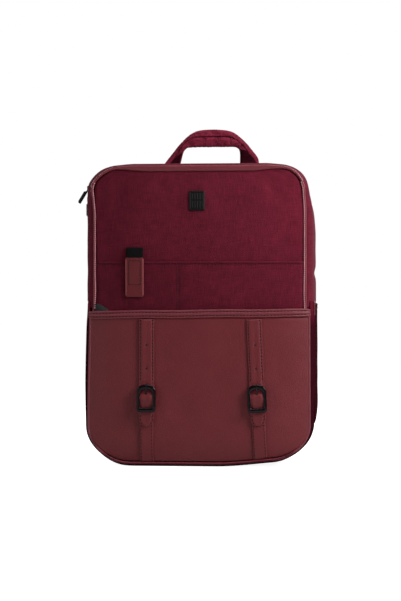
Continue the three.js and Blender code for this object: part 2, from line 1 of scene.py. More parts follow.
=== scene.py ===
"""Travel backpack: the cloth, leather, stitching and metal that are seen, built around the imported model.

Metres, +Z up, the front faces -Y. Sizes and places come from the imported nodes. Every soft surface is a grid
of points that is given a thickness; `settle` then lets the soft pieces sag the way a half-full bag does.
"""

import math

import bmesh
import bpy
import numpy as np
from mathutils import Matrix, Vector, noise


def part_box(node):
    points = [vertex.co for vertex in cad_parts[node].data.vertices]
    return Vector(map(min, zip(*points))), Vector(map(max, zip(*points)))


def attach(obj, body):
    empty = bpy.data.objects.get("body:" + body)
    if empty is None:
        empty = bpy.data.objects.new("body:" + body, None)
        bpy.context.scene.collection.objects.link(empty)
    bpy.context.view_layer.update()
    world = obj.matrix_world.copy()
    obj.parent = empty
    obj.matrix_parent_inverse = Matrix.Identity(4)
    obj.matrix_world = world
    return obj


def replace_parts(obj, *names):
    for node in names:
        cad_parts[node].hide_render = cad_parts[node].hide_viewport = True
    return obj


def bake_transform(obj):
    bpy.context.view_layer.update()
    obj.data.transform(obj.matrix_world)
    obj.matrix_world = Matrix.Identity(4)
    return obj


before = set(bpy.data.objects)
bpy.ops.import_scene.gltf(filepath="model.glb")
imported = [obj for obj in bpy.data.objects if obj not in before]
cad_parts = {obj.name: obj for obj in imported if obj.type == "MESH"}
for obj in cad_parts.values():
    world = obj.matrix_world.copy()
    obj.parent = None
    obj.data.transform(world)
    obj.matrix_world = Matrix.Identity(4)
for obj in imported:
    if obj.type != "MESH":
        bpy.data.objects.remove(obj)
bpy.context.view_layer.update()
MM = 0.001

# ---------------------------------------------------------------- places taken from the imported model


def low(node):
    return np.array(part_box(node)[0])


def high(node):
    return np.array(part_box(node)[1])


FRONT = low("front_panel_lower")[1]  # the front panel's outer face
BACK = high("back_panel")[1]
HALF = high("piping_upper")[0]
TOP = high("piping_upper")[2]
LOW = low("piping_lower")[2]
TOP_RADIUS = 33 * MM
LOW_RADIUS = 46 * MM
ZIP_RADIUS = 31 * MM  # the walls' corners: over the top, under the foot, and at the back panel's top
WALL_RADIUS = 48 * MM
BACK_RADIUS = 35 * MM
PANEL_HALF = high("front_panel_upper")[0]
FOLD = (low("front_panel_upper")[2] + high("front_panel_lower")[2]) / 2
HEM_TOP = high("pocket_hem")[2]
HEM_LOW = low("pocket_hem")[2]
SLIP_TOP = high("slip_pocket")[2]
ZIP_HALF = high("zip_gusset_rear")[0]
LOWER_HALF = high("bottom_gusset")[0]
BODY = "pack"
FLAP = "front_flap"
ACROSS_FOLD = (BODY, FLAP)
TAB = (FLAP, "closing_tab")
INNER_STRAP = (BODY, "inner_strap")

# ---------------------------------------------------------------- camera, light and floor

PICTURE_WIDTH = 401
PIXEL = 1.30 * MM  # what one pixel of the picture covers at the front panel
VIEW_YAW = math.radians(5.0)
VIEW_DISTANCE = 2.2
AIM = Vector((1.5 * MM, FRONT, 215.5 * MM))
MIDDLE = (0, 0, 0.2)
LIGHTS = [  # name, place, what it is aimed at, size, watts
    ("key", (0.76, -0.50, 0.64), MIDDLE, (0.35, 0.5), 9.6),
    ("fill", (-1.5, -1.3, 0.45), MIDDLE, (0.5, 1.2), 5.5),
    ("top", (0.15, -0.15, 1.45), (0, 0, 0.3), (0.9, 0.6), 8),
    ("back_right", (0.7, 1.7, 0.9), MIDDLE, (1.0, 1.0), 16),
    ("back_left", (-1.1, 1.4, 0.8), MIDDLE, (1.0, 1.0), 14),
]
AMBIENT = 0.12  # how brightly the white surroundings light the bag
FLOOR_REACH = 12
FLOOR_GLOW = 0.93  # lifts the floor to the white of the background


def make_camera():
    data = bpy.data.cameras.new("view")
    camera = bpy.data.objects.new("view", data)
    bpy.context.scene.collection.objects.link(camera)
    data.sensor_fit = "HORIZONTAL"
    data.sensor_width = 36
    data.lens = data.sensor_width * VIEW_DISTANCE / (PICTURE_WIDTH * PIXEL)
    data.clip_end = 50
    away = Vector((math.sin(VIEW_YAW), -math.cos(VIEW_YAW), 0))
    camera.location = AIM + away * VIEW_DISTANCE
    camera.rotation_euler = (-away).to_track_quat("-Z", "Y").to_euler()
    bpy.context.scene.camera = camera


def area_light(name, place, target, size, watts):
    data = bpy.data.lights.new(name, "AREA")
    data.shape = "RECTANGLE"
    data.size, data.size_y = size
    data.energy = watts
    light = bpy.data.objects.new(name, data)
    bpy.context.scene.collection.objects.link(light)
    light.location = place
    light.rotation_euler = (Vector(target) - Vector(place)).to_track_quat("-Z", "Y").to_euler()


def make_studio():
    world = bpy.data.worlds.new("studio")
    bpy.context.scene.world = world
    world.use_nodes = True
    tree = world.node_tree
    tree.nodes.clear()
    output = tree.nodes.new("ShaderNodeOutputWorld")
    mix = tree.nodes.new("ShaderNodeMixShader")
    path = tree.nodes.new("ShaderNodeLightPath")
    tree.links.new(path.outputs["Is Camera Ray"], mix.inputs[0])
    for socket, strength in ((1, AMBIENT), (2, 1.0)):  # what lights the bag, and what the camera sees
        white = tree.nodes.new("ShaderNodeBackground")
        white.inputs["Color"].default_value = (1, 1, 1, 1)
        white.inputs["Strength"].default_value = strength
        tree.links.new(white.outputs[0], mix.inputs[socket])
    tree.links.new(mix.outputs[0], output.inputs[0])
    for light in LIGHTS:
        area_light(*light)
    bpy.context.scene.view_settings.view_transform = "Standard"


def make_floor():
    mesh = bpy.data.meshes.new("floor")
    corners = [(x * FLOOR_REACH, y * FLOOR_REACH, 0) for x, y in ((-1, -1), (1, -1), (1, 1), (-1, 1))]
    mesh.from_pydata(corners, [], [(0, 1, 2, 3)])
    floor = bpy.data.objects.new("floor", mesh)
    bpy.context.scene.collection.objects.link(floor)
    floor.location.z = -0.2 * MM
    material = bpy.data.materials.new("floor")
    material.use_nodes = True
    tree = material.node_tree
    shader = tree.nodes["Principled BSDF"]
    shader.inputs["Base Color"].default_value = (0.6, 0.6, 0.6, 1)
    shader.inputs["Roughness"].default_value = 0.9
    shader.inputs["Specular IOR Level"].default_value = 0.0
    glow = tree.nodes.new("ShaderNodeEmission")
    glow.inputs["Strength"].default_value = FLOOR_GLOW
    both = tree.nodes.new("ShaderNodeAddShader")
    pick = tree.nodes.new("ShaderNodeMixShader")
    path = tree.nodes.new("ShaderNodeLightPath")
    tree.links.new(shader.outputs[0], both.inputs[0])
    tree.links.new(glow.outputs[0], both.inputs[1])
    tree.links.new(path.outputs["Is Camera Ray"], pick.inputs[0])
    tree.links.new(shader.outputs[0], pick.inputs[1])
    tree.links.new(both.outputs[0], pick.inputs[2])
    tree.links.new(pick.outputs[0], tree.nodes["Material Output"].inputs[0])
    mesh.materials.append(material)


# ---------------------------------------------------------------- materials


class Nodes:
    """A small helper that adds shader nodes and links them."""

    def __init__(self, name):
        self.material = bpy.data.materials.new(name)
        self.material.use_nodes = True
        self.tree = self.material.node_tree
        self.shader = self.tree.nodes["Principled BSDF"]

    def add(self, kind, **inputs):
        node = self.tree.nodes.new(f"ShaderNode{kind}")
        for key, value in inputs.items():
            if key.islower():
                setattr(node, key, value)
            else:
                self.put(node.inputs[key.replace("_", " ")], value)
        return node

    def put(self, socket, value):
        if isinstance(value, bpy.types.NodeSocket):
            self.tree.links.new(value, socket)
        else:
            socket.default_value = value

    def math(self, operation, a, b=0.0):
        node = self.tree.nodes.new("ShaderNodeMath")
        node.operation = operation
        self.put(node.inputs[0], a)
        self.put(node.inputs[1], b)
        return node.outputs[0]

    def mix(self, factor, a, b):
        node = self.tree.nodes.new("ShaderNodeMix")
        node.data_type = "RGBA"
        self.put(node.inputs[0], factor)
        self.put(node.inputs[6], a)
        self.put(node.inputs[7], b)
        return node.outputs[2]

    def ramp(self, value, low_in, high_in, low_out, high_out):
        node = self.add("MapRange")
        self.put(node.inputs[0], value)
        for index, number in enumerate((low_in, high_in, low_out, high_out), start=1):
            node.inputs[index].default_value = number
        return node.outputs[0]

    def noise(self, vector, scale, detail=3.0, roughness=0.55):
        return self.add("TexNoise", Vector=vector, Scale=scale, Detail=detail, Roughness=roughness).outputs[0]

    def stretched(self, vector, scale):
        node = self.add("Mapping", vector_type="POINT")
        self.put(node.inputs["Vector"], vector)
        node.inputs["Scale"].default_value = scale
        return node.outputs[0]

    def bump(self, height, distance, strength=1.0, normal=None):
        node = self.add("Bump", Height=height, Distance=distance, Strength=strength)
        if normal is not None:
            self.put(node.inputs["Normal"], normal)
        return node.outputs[0]

    def cloth(self):
        """Where a point lies on the flat cloth, in metres."""
        return self.add("Attribute", attribute_name="cloth").outputs["Vector"]

    def object(self):
        return self.add("TexCoord").outputs["Object"]

    def finish(self, **inputs):
        for key, value in inputs.items():
            self.put(self.shader.inputs[key.replace("_", " ")], value)
        return self.material


def shade(colour, factor=1.0):
    return tuple(channel * factor for channel in colour) + (1,)


def woven(name, colour, thread=0.62 * MM, contrast=0.36, relief=0.2, sheen=0.03, rough=0.85, shine=0.08,
          painted_shade=False, upper=None):
    """A plain weave: crossing threads, slubs that run along each of them, and a soft mottle.

    With the painted shade asked for, the cloth is painted darker low down and towards the left, standing in
    for the key light's fall-off away from the right. Where `upper` is given, the cloth takes that colour near
    its top edge.
    """
    n = Nodes(name)
    where = n.cloth()
    parts = n.add("SeparateXYZ", Vector=where)
    turn = math.pi / thread
    across = n.math("SINE", n.math("MULTIPLY", parts.outputs[0], turn))
    along = n.math("SINE", n.math("MULTIPLY", parts.outputs[1], turn))
    weave = n.math("MULTIPLY", across, along)
    warp = n.noise(n.stretched(where, (1400, 60, 1)), 1.0, 2.0)
    weft = n.noise(n.stretched(where, (60, 1400, 1)), 1.0, 2.0)
    slub = n.math("ADD", n.math("MULTIPLY", warp, 0.55), n.math("MULTIPLY", weft, 0.45))
    mottle = n.noise(where, 90.0, 4.0, 0.6)
    tone = n.math("ADD", n.math("MULTIPLY", slub, 0.7), n.math("MULTIPLY", mottle, 0.3))
    tone = n.math("ADD", tone, n.math("MULTIPLY", weave, 0.05))
    factor = n.ramp(tone, 0.36, 0.64, 0.0, 1.0)
    base = n.mix(factor, shade(colour, 1 - contrast), shade(colour, 1 + contrast))
    # painted shade: the cloth darkens towards the left and low down in place of the key light's fall-off; the
    # cloud noise is random tone
    if painted_shade:
        spot = n.add("SeparateXYZ", Vector=n.object())
        cloud = n.ramp(n.noise(n.object(), 14.0, 3.0), 0.35, 0.65, -0.05, 0.05)
        sideways = n.ramp(spot.outputs[0], -0.12, 0.12, 0.64, 0.93)
        upwards = n.ramp(spot.outputs[2], 0.24, 0.31, 0.84, 1.0)
        tint = n.math("ADD", n.math("MULTIPLY", sideways, upwards), cloud)
        base = n.mix(tint, shade(colour, 0.0), base)
    if upper:
        spot = n.add("SeparateXYZ", Vector=n.object())
        light = n.mix(factor, shade(upper, 1 - contrast), shade(upper, 1 + contrast))
        base = n.mix(n.ramp(spot.outputs[2], 0.182, 0.204, 0.0, 1.0), base, light)
    height = n.math("ADD", n.math("MULTIPLY", weave, 0.5), n.math("MULTIPLY", slub, 0.8))
    return n.finish(
        Base_Color=base, Roughness=n.ramp(mottle, 0.3, 0.7, rough - 0.07, min(rough + 0.07, 1.0)),
        Normal=n.bump(height, relief * MM * 2, 0.7), Sheen_Weight=sheen, Sheen_Roughness=0.45,
        Sheen_Tint=shade(colour, 3.0), Specular_IOR_Level=shine,
    )


def leather(name, colour, grain=1.1 * MM, rough=0.44, relief=0.12, creases=0.5, shine=0.28):
    """Embossed leather: pebbled cells with darker hollows between them, fine pores and a slow change of tone.
    """
    n = Nodes(name)
    where = n.cloth()
    drift = n.add("TexNoise", Vector=where, Scale=500.0, Detail=2.0)
    scaled = n.add("VectorMath", operation="SCALE")
    n.put(scaled.inputs[0], drift.outputs["Color"])
    scaled.inputs["Scale"].default_value = 0.5 * grain
    warped = n.add("VectorMath", operation="ADD")
    n.put(warped.inputs[0], where)
    n.put(warped.inputs[1], scaled.outputs[0])
    cells = n.add("TexVoronoi", feature="SMOOTH_F1", Vector=warped.outputs[0], Scale=1 / grain,
                  Smoothness=0.35)
    pores = n.noise(where, 2600.0, 2.0)
    crease = n.noise(n.stretched(where, (14, 34, 14)), 1.0, 4.0, 0.6)
    tone = n.noise(where, 22.0, 3.0)
    cell = cells.outputs["Distance"]
    base = n.mix(n.ramp(tone, 0.3, 0.7, 0.0, 1.0), shade(colour, 0.94), shade(colour, 1.06))
    base = n.mix(n.ramp(cell, 0.15, 0.75, 0.0, 0.22), base, shade(colour, 0.6))
    height = n.math("SUBTRACT", n.math("MULTIPLY", pores, 0.25), cell)
    fine = n.bump(height, relief * MM * 2.4, 0.8)
    return n.finish(
        Base_Color=base, Roughness=n.ramp(tone, 0.25, 0.75, rough - 0.06, rough + 0.08),
        Normal=n.bump(crease, creases * MM, 0.4, fine), Specular_IOR_Level=shine,
    )


def webbing(name, colour, rib=1.5 * MM):
    """Ribbed webbing: chevron ribs across the band."""
    n = Nodes(name)
    where = n.cloth()
    parts = n.add("SeparateXYZ", Vector=where)
    zigzag = n.math("PINGPONG", parts.outputs[0], 2.4 * MM)
    run = n.math("ADD", parts.outputs[1], zigzag)
    ribs = n.math("SINE", n.math("MULTIPLY", run, 2 * math.pi / rib))
    fuzz = n.noise(where, 1500.0, 2.0)
    factor = n.ramp(n.math("ADD", n.math("MULTIPLY", ribs, 0.25), fuzz), 0.2, 0.8, 0.0, 1.0)
    base = n.mix(factor, shade(colour, 0.6), shade(colour, 1.5))
    height = n.math("ADD", n.math("MULTIPLY", ribs, 0.5), n.math("MULTIPLY", fuzz, 0.4))
    return n.finish(Base_Color=base, Roughness=0.75, Normal=n.bump(height, 0.3 * MM, 0.8),
                    Specular_IOR_Level=0.06)


def air_mesh(name, colour):
    """Open spacer mesh: rows of small holes in a knitted face."""
    n = Nodes(name)
    where = n.cloth()
    holes = n.add("TexVoronoi", feature="F1", Vector=where, Scale=1 / (2.6 * MM), Randomness=0.12)
    depth = n.ramp(holes.outputs["Distance"], 0.18, 0.42, 0.0, 1.0)
    fuzz = n.noise(where, 1800.0, 2.0)
    base = n.mix(depth, shade(colour, 0.25), shade(colour, 1.1))
    height = n.math("ADD", depth, n.math("MULTIPLY", fuzz, 0.2))
    return n.finish(Base_Color=base, Roughness=0.9, Normal=n.bump(height, 0.6 * MM, 0.9),
                    Specular_IOR_Level=0.15)


def metal(name, colour, rough):
    """Plated metal with faint scuffs."""
    n = Nodes(name)
    scuff = n.noise(n.stretched(n.object(), (300, 900, 300)), 1.0, 5.0, 0.65)
    return n.finish(
        Base_Color=n.mix(scuff, shade(colour, 0.9), shade(colour, 1.15)), Metallic=1.0,
        Roughness=n.ramp(scuff, 0.35, 0.75, rough * 0.7, rough * 1.6), Normal=n.bump(scuff, 0.01 * MM, 0.3),
    )


def plastic(name, colour, rough, gloss=0.4):
    """Moulded plastic with a fine spark-eroded texture."""
    n = Nodes(name)
    fine = n.noise(n.object(), 2500.0, 2.0)
    slow = n.noise(n.object(), 120.0, 2.0)
    return n.finish(
        Base_Color=n.mix(slow, shade(colour, 0.85), shade(colour, 1.2)),
        Roughness=n.ramp(slow, 0.3, 0.7, rough - 0.06, rough + 0.06), Normal=n.bump(fine, 0.04 * MM, 0.5),
        Specular_IOR_Level=gloss,
    )


def thread(name, colour):
    """Sewing thread, twisted."""
    n = Nodes(name)
    parts = n.add("SeparateXYZ", Vector=n.object())
    run = n.math("ADD", n.math("ADD", parts.outputs[0], parts.outputs[2]), parts.outputs[1])
    twist = n.math("SINE", n.math("MULTIPLY", run, 2 * math.pi / (0.7 * MM)))
    return n.finish(Base_Color=n.mix(n.ramp(twist, -1, 1, 0, 1), shade(colour, 0.7), shade(colour, 1.25)),
                    Roughness=0.6, Normal=n.bump(twist, 0.05 * MM, 0.6), Specular_IOR_Level=0.2)


MATERIALS = {
    "fabric": woven("fabric", (0.142, 0.0102, 0.0250)),
    # the front's cloth carries painted shade, darker towards the lower left
    "front_fabric": woven("front_fabric", (0.146, 0.0115, 0.0270), painted_shade=True),
    # painted light: the handle's cloth is a lighter copy of the body cloth, standing in for the top light on
    # its upper face
    "lit_handle_fabric": woven("lit_handle_fabric", (0.185, 0.0170, 0.0380)),
    "gusset": woven("gusset", (0.120, 0.0110, 0.0240)),
    "dark_gusset": woven("dark_gusset", (0.032, 0.0042, 0.0080), sheen=0.0, shine=0.0),
    "lower_wall": woven("lower_wall", (0.032, 0.0042, 0.0080), sheen=0.0, shine=0.0,
                        upper=(0.105, 0.0095, 0.0208)),
    "leather": leather("leather", (0.143, 0.0172, 0.0222)),
    "tab_leather": leather("tab_leather", (0.118, 0.0132, 0.0170)),
    "binding": leather("binding", (0.165, 0.0205, 0.0310), grain=0.9 * MM, rough=0.34, shine=0.5),
    "cut_edge": leather("cut_edge", (0.30, 0.060, 0.060), rough=0.5),
    "lining": woven("lining", (0.0085, 0.0075, 0.0085), 0.35 * MM, 0.25, 0.05, 0.0, 0.6, 0.3),
    "inner_cloth": woven("inner_cloth", (0.030, 0.027, 0.030), 0.35 * MM, 0.3, 0.1, 0.0, 0.6, 0.3),
    "webbing": webbing("webbing", (0.0042, 0.0044, 0.0043)),
    "air_mesh": air_mesh("air_mesh", (0.085, 0.0095, 0.0200)),
    "gunmetal": metal("gunmetal", (0.030, 0.025, 0.027), 0.2),
    "plastic": plastic("plastic", (0.006, 0.006, 0.0065), 0.42),
    "coil": plastic("coil", (0.022, 0.005, 0.008), 0.4),
    "board": plastic("board", (0.02, 0.02, 0.023), 0.6),
    "rubber": plastic("rubber", (0.0048, 0.0040, 0.0043), 0.45, 0.16),
    # pale beads: partly thread, partly a painted highlight on the binding's flank
    "pale_thread": thread("pale_thread", (0.72, 0.33, 0.36)),
    "dark_thread": thread("dark_thread", (0.008, 0.0010, 0.0018)),
    "black_thread": thread("black_thread", (0.02, 0.019, 0.02)),
}

# ---------------------------------------------------------------- shaping helpers


def smoothstep(edge0, edge1, x):
    t = np.clip((np.asarray(x, float) - edge0) / (edge1 - edge0), 0, 1)
    return t * t * (3 - 2 * t)


def alike(*values):
    """The values as arrays of one shape."""
    return np.broadcast_arrays(*(np.asarray(value, float) for value in values))


def upright(points, y=0.0):
    """Points given in X and Z, put at a depth."""
    return np.stack([points[:, 0], np.zeros(len(points)) + y, points[:, 1]], axis=1)


def wander(points, scale, seed=0.0):
    """Smooth noise between -1 and 1 at each point."""
    points = np.asarray(points, float)
    flat = points.reshape(-1, 3) * scale + seed
    return np.array([noise.noise(Vector(p)) for p in flat]).reshape(points.shape[:-1])


def ripple(x, z, scale, seed=0.0):
    """Smooth noise over the front of the bag."""
    x, z = alike(x, z)
    return wander(np.stack([x, np.zeros_like(x), z], axis=-1), scale, seed)


FOOT_SPREAD = (-2.9 * MM, 0.4 * MM)  # how far the left and the right side shift at the foot
CORNER_LIFT = (5 * MM, 8 * MM)  # how far the lower corners round up, left and right
TOP_DROP = 2.6 * MM
TOP_INWARD = 5.6 * MM
LEFT_INWARD = 4.0 * MM  # how far the front's top left corner moves in; TOP_INWARD moves the right side


def settle(points):
    """How the soft bag sags: its foot spreads and its lower corners round up, the right one more."""
    p = np.array(points, float)
    x, z = p[..., 0].copy(), p[..., 2].copy()
    beside = np.clip(np.abs(x) / HALF, 0, 1.2) ** 3
    p[..., 0] += beside * np.where(x < 0, *FOOT_SPREAD) * (1 - smoothstep(0.05, 0.24, z))
    lift = CORNER_LIFT[1] * smoothstep(0.02, 0.135, x) + CORNER_LIFT[0] * smoothstep(0.085, 0.14, -x)
    p[..., 2] += lift * (1 - smoothstep(0.0, 0.085, z))
    near = 1 - smoothstep(4 * MM, 18 * MM, p[..., 1] - FRONT)
    p[..., 2] -= TOP_DROP * near * smoothstep(0.34, 0.385, z)
    p[..., 2] -= TOP_DROP * smoothstep(0.085, 0.125, np.abs(x)) * smoothstep(0.33, 0.385, z)
    inward = TOP_INWARD * smoothstep(0.325, 0.372, z) * np.clip(x / HALF, 0, 1.1) ** 2
    p[..., 0] -= inward - LEFT_INWARD * near * smoothstep(0.372, 0.392, z) * smoothstep(0.08, 0.135, -x)
    return p


def spline(points, count):
    """A smooth line through the points, with `count` places along it."""
    knots = np.array(points, float)
    ends = np.concatenate([2 * knots[:1] - knots[1:2], knots, 2 * knots[-1:] - knots[-2:-1]])
    line = []
    for t in np.linspace(0, len(knots) - 1, count):
        i = min(int(t), len(knots) - 2)
        f = t - i
        a, b, c, d = ends[i:i + 4]
        line.append(0.5 * (2 * b + (c - a) * f + (2 * a - 5 * b + 4 * c - d) * f**2
                           + (3 * b - a - 3 * c + d) * f**3))
    return np.array(line)


def lengths(line):
    """How far along a line each of its points is."""
    line = np.asarray(line, float)
    steps = np.linalg.norm(np.diff(line, axis=0), axis=1)
    return np.concatenate([[0], np.cumsum(steps)])


def resample(line, pitch, *others):
    """Places an even pitch apart along a line, and the same places along each of the other lines."""
    run = lengths(line)
    count = max(int(round(run[-1] / pitch)), 1)
    at = (np.arange(count) + 0.5) * run[-1] / count
    columns = [np.stack([np.interp(at, run, np.asarray(data, float)[:, k]) for k in range(3)], axis=-1)
               for data in (line,) + others]
    return columns if others else columns[0]


def unit(vectors):
    vectors = np.asarray(vectors, float)
    return vectors / np.maximum(np.linalg.norm(vectors, axis=-1, keepdims=True), 1e-12)


def trace(parts, step):
    """Points along straight and round parts in X and Z, and which way is out, left of the way it runs."""
    points, outward = [], []
    for kind, *values in parts:
        if kind == "line":
            a, b = np.array(values, float)
            size = np.linalg.norm(b - a)
            count = max(int(size / step), 1)
            t = np.arange(count)[:, None] / count
            along = (b - a) / max(size, 1e-9)
            points.append(a + t * (b - a))
            outward.append(np.tile([-along[1], along[0]], (count, 1)))
            last = b, outward[-1][-1]
        else:
            centre, radius, start, end = values
            count = max(int(abs(end - start) * radius / step), 8)
            angle = start + (np.arange(count) / count) * (end - start)
            way = np.stack([np.cos(angle), np.sin(angle)], axis=1)
            points.append(np.array(centre) + radius * way)
            outward.append(way)
            way = np.array([math.cos(end), math.sin(end)])
            last = np.array(centre) + radius * way, way
    points.append([last[0]])
    outward.append([last[1]])
    return np.concatenate(points), np.concatenate(outward)


def over_top(half, top, radius, z, step=3 * MM):
    """Up the left side, over the top and down the right side."""
    return trace([
        ("line", (-half, z), (-half, top - radius)),
        ("arc", (-half + radius, top - radius), radius, math.pi, math.pi / 2),
        ("line", (-half + radius, top), (half - radius, top)),
        ("arc", (half - radius, top - radius), radius, math.pi / 2, 0),
        ("line", (half, top - radius), (half, z)),
    ], step)


def under_foot(half, foot, radius, z, step=3 * MM):
    """Down the right side, under the foot and up the left side."""
    return trace([
        ("line", (half, z), (half, foot + radius)),
        ("arc", (half - radius, foot + radius), radius, 0, -math.pi / 2),
        ("line", (half - radius, foot), (-half + radius, foot)),
        ("arc", (-half + radius, foot + radius), radius, -math.pi / 2, -math.pi),
        ("line", (-half, foot + radius), (-half, z)),
    ], step)


def all_round(half, top, top_radius, foot, low_radius, step=3 * MM):
    """The whole outline, from the fold at the left, over the top and under the foot."""
    upper = over_top(half, top, top_radius, FOLD, step)
    lower = under_foot(half, foot, low_radius, FOLD, step)
    return (np.concatenate([over[:-1], under[:-1]]) for over, under in zip(upper, lower))


def turn_up(centre, radius, count):
    """Heights over a rounded top corner, closer together towards its top."""
    return centre + radius * np.sin(np.linspace(0, math.pi / 2, count)[1:])


def turn_down(centre, radius, count):
    """Heights up a rounded lower corner, closer together towards its foot."""
    return centre - radius * np.sin(np.linspace(math.pi / 2, 0, count)[:-1])


def half_width(z, half, top, foot, top_radius, low_radius):
    """Half the width of a rounded outline at each height."""
    z = np.asarray(z, float)
    over = np.clip(z - (top - top_radius), 0, top_radius)
    under = np.clip(foot + low_radius - z, 0, low_radius)
    return (half - (top_radius - np.sqrt(top_radius**2 - over**2))
            - (low_radius - np.sqrt(low_radius**2 - under**2)))


# ---------------------------------------------------------------- mesh building


STUFFING_FRAMES = 20
CLOTH_QUALITY = 6
CLOTH_MASS = 0.2


def stuff(piece, held, cap, pressure, slack):
    """Blow a closed piece up as sewn cloth. `held` is how firmly each point is sewn down, from 0 to 1, and no
    point moves further than `cap`. The result is applied, so no modifier stays on the piece."""
    mesh = piece.data
    rest = np.empty(len(mesh.vertices) * 3, np.float32)
    mesh.vertices.foreach_get("co", rest)
    rest = rest.reshape(-1, 3)
    group = piece.vertex_groups.new(name="held")
    for index in np.nonzero(held > 0)[0]:
        group.add([int(index)], float(held[index]), "REPLACE")
    modifier = piece.modifiers.new("stuffing", "CLOTH")
    settings = modifier.settings
    settings.quality = CLOTH_QUALITY
    settings.mass = CLOTH_MASS
    settings.use_pressure = True
    settings.uniform_pressure_force = pressure
    settings.vertex_group_mass = "held"
    settings.shrink_min = -slack
    settings.effector_weights.gravity = 0
    modifier.collision_settings.use_collision = False
    modifier.point_cache.frame_end = STUFFING_FRAMES
    for step in range(1, STUFFING_FRAMES + 1):
        bpy.context.scene.frame_set(step)
    shaped = piece.evaluated_get(bpy.context.evaluated_depsgraph_get()).to_mesh()
    after = np.empty(len(mesh.vertices) * 3, np.float32)
    shaped.vertices.foreach_get("co", after)
    move = after.reshape(-1, 3) - rest
    piece.evaluated_get(bpy.context.evaluated_depsgraph_get()).to_mesh_clear()
    far = np.linalg.norm(move, axis=1, keepdims=True)
    move *= np.minimum(1, cap / np.maximum(far, 1e-9))
    piece.modifiers.remove(modifier)
    piece.vertex_groups.remove(group)
    mesh.vertices.foreach_set("co", (rest + move).ravel())
    mesh.update()
    bpy.context.scene.frame_set(1)


def add_piece(name, points, faces, material, cloth=None, soft=True, body=BODY, span=None, stuffing=None):
    points = np.asarray(points, float)
    if cloth is None:
        cloth = points
    if soft:
        points = settle(points)
    mesh = bpy.data.meshes.new(name)
    mesh.from_pydata(points.tolist(), [], [[int(i) for i in face] for face in faces])
    attribute = mesh.attributes.new("cloth", "FLOAT_VECTOR", "POINT")
    attribute.data.foreach_set("vector", np.asarray(cloth, np.float32).ravel())
    work = bmesh.new()
    work.from_mesh(mesh)
    bmesh.ops.recalc_face_normals(work, faces=work.faces)
    work.to_mesh(mesh)
    work.free()
    mesh.polygons.foreach_set("use_smooth", [True] * len(mesh.polygons))
    mesh.materials.append(MATERIALS[material])
    piece = bpy.data.objects.new(name, mesh)
    bpy.context.scene.collection.objects.link(piece)
    if stuffing:
        stuff(piece, **stuffing)
    if isinstance(body, tuple):
        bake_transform(piece)
    else:
        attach(piece, body)
    return piece


def flat_places(grid):
    """Each grid point's place on the cloth laid flat, in metres."""
    rows = np.linalg.norm(np.diff(grid, axis=0), axis=-1).mean(axis=1)
    u = np.concatenate([[0], np.cumsum(rows)])
    v = np.zeros(grid.shape[:2])
    v[:, 1:] = np.cumsum(np.linalg.norm(np.diff(grid, axis=1), axis=-1), axis=1)
    u = np.broadcast_to(u[:, None], v.shape)
    return np.stack([u, v, np.zeros_like(v)], axis=-1)


def sheet(name, grid, thickness, material, loop=False, cloth=None, **options):
    """A closed sheet: the grid is its outer face, and the inner face lies a thickness behind it."""
    grid = np.asarray(grid, float)
    rows, columns = grid.shape[:2]
    across = (np.roll(grid, -1, 0) - np.roll(grid, 1, 0)) if loop else np.gradient(grid, axis=0)
    normal = unit(np.cross(across, np.gradient(grid, axis=1)))
    thick = np.broadcast_to(np.asarray(thickness, float), (rows, columns))
    edge = np.zeros((rows, columns))
    edge[:, 0] = edge[:, -1] = 0.3
    if not loop:
        edge[0] = edge[-1] = 0.3
    outer = grid - normal * (thick * edge)[..., None]
    inner = grid - normal * (thick * (1 - edge))[..., None]
    points = np.concatenate([outer.reshape(-1, 3), inner.reshape(-1, 3)])
    places = (flat_places(grid) if cloth is None else cloth).reshape(-1, 3)
    index = np.arange(rows * columns).reshape(rows, columns)
    if loop:
        index = np.concatenate([index, index[:1]])
    quads = np.stack([index[:-1, :-1], index[1:, :-1], index[1:, 1:], index[:-1, 1:]], axis=-1).reshape(-1, 4)
    shift = rows * columns
    rims = [index[:, 0], index[:, -1]] + ([] if loop else [index[0], index[-1]])
    sides = [np.stack([rim[:-1], rim[:-1] + shift, rim[1:] + shift, rim[1:]], axis=-1) for rim in rims]
    faces = np.concatenate([quads, quads + shift] + sides)
    return add_piece(name, points, faces, material, np.concatenate([places, places]), **options)


class Parts:
    """Several closed meshes gathered into one piece."""

    def __init__(self):
        self.points, self.faces, self.places, self.count = [], [], [], 0

    def add(self, points, faces, places=None):
        points = np.asarray(points, float).reshape(-1, 3)
        places = points if places is None else np.asarray(places, float).reshape(-1, 3)
        self.points.append(points)
        self.places.append(places)
        self.faces += [[int(i) + self.count for i in face] for face in faces]
        self.count += len(points)

    def piece(self, name, material, **options):
        return add_piece(name, np.concatenate(self.points), self.faces, material, np.concatenate(self.places),
                         **options)


def ring_faces(rings, sides, closed=False):
    index = np.arange(rings * sides).reshape(rings, sides)
    if closed:
        index = np.concatenate([index, index[:1]])
    index = np.concatenate([index, index[:, :1]], axis=1)
    quads = np.stack([index[:-1, :-1], index[1:, :-1], index[1:, 1:], index[:-1, 1:]], axis=-1).reshape(-1, 4)
    faces = quads.tolist()
    if not closed:
        faces += [list(range(sides)), list(range((rings - 1) * sides, rings * sides))]
    return faces


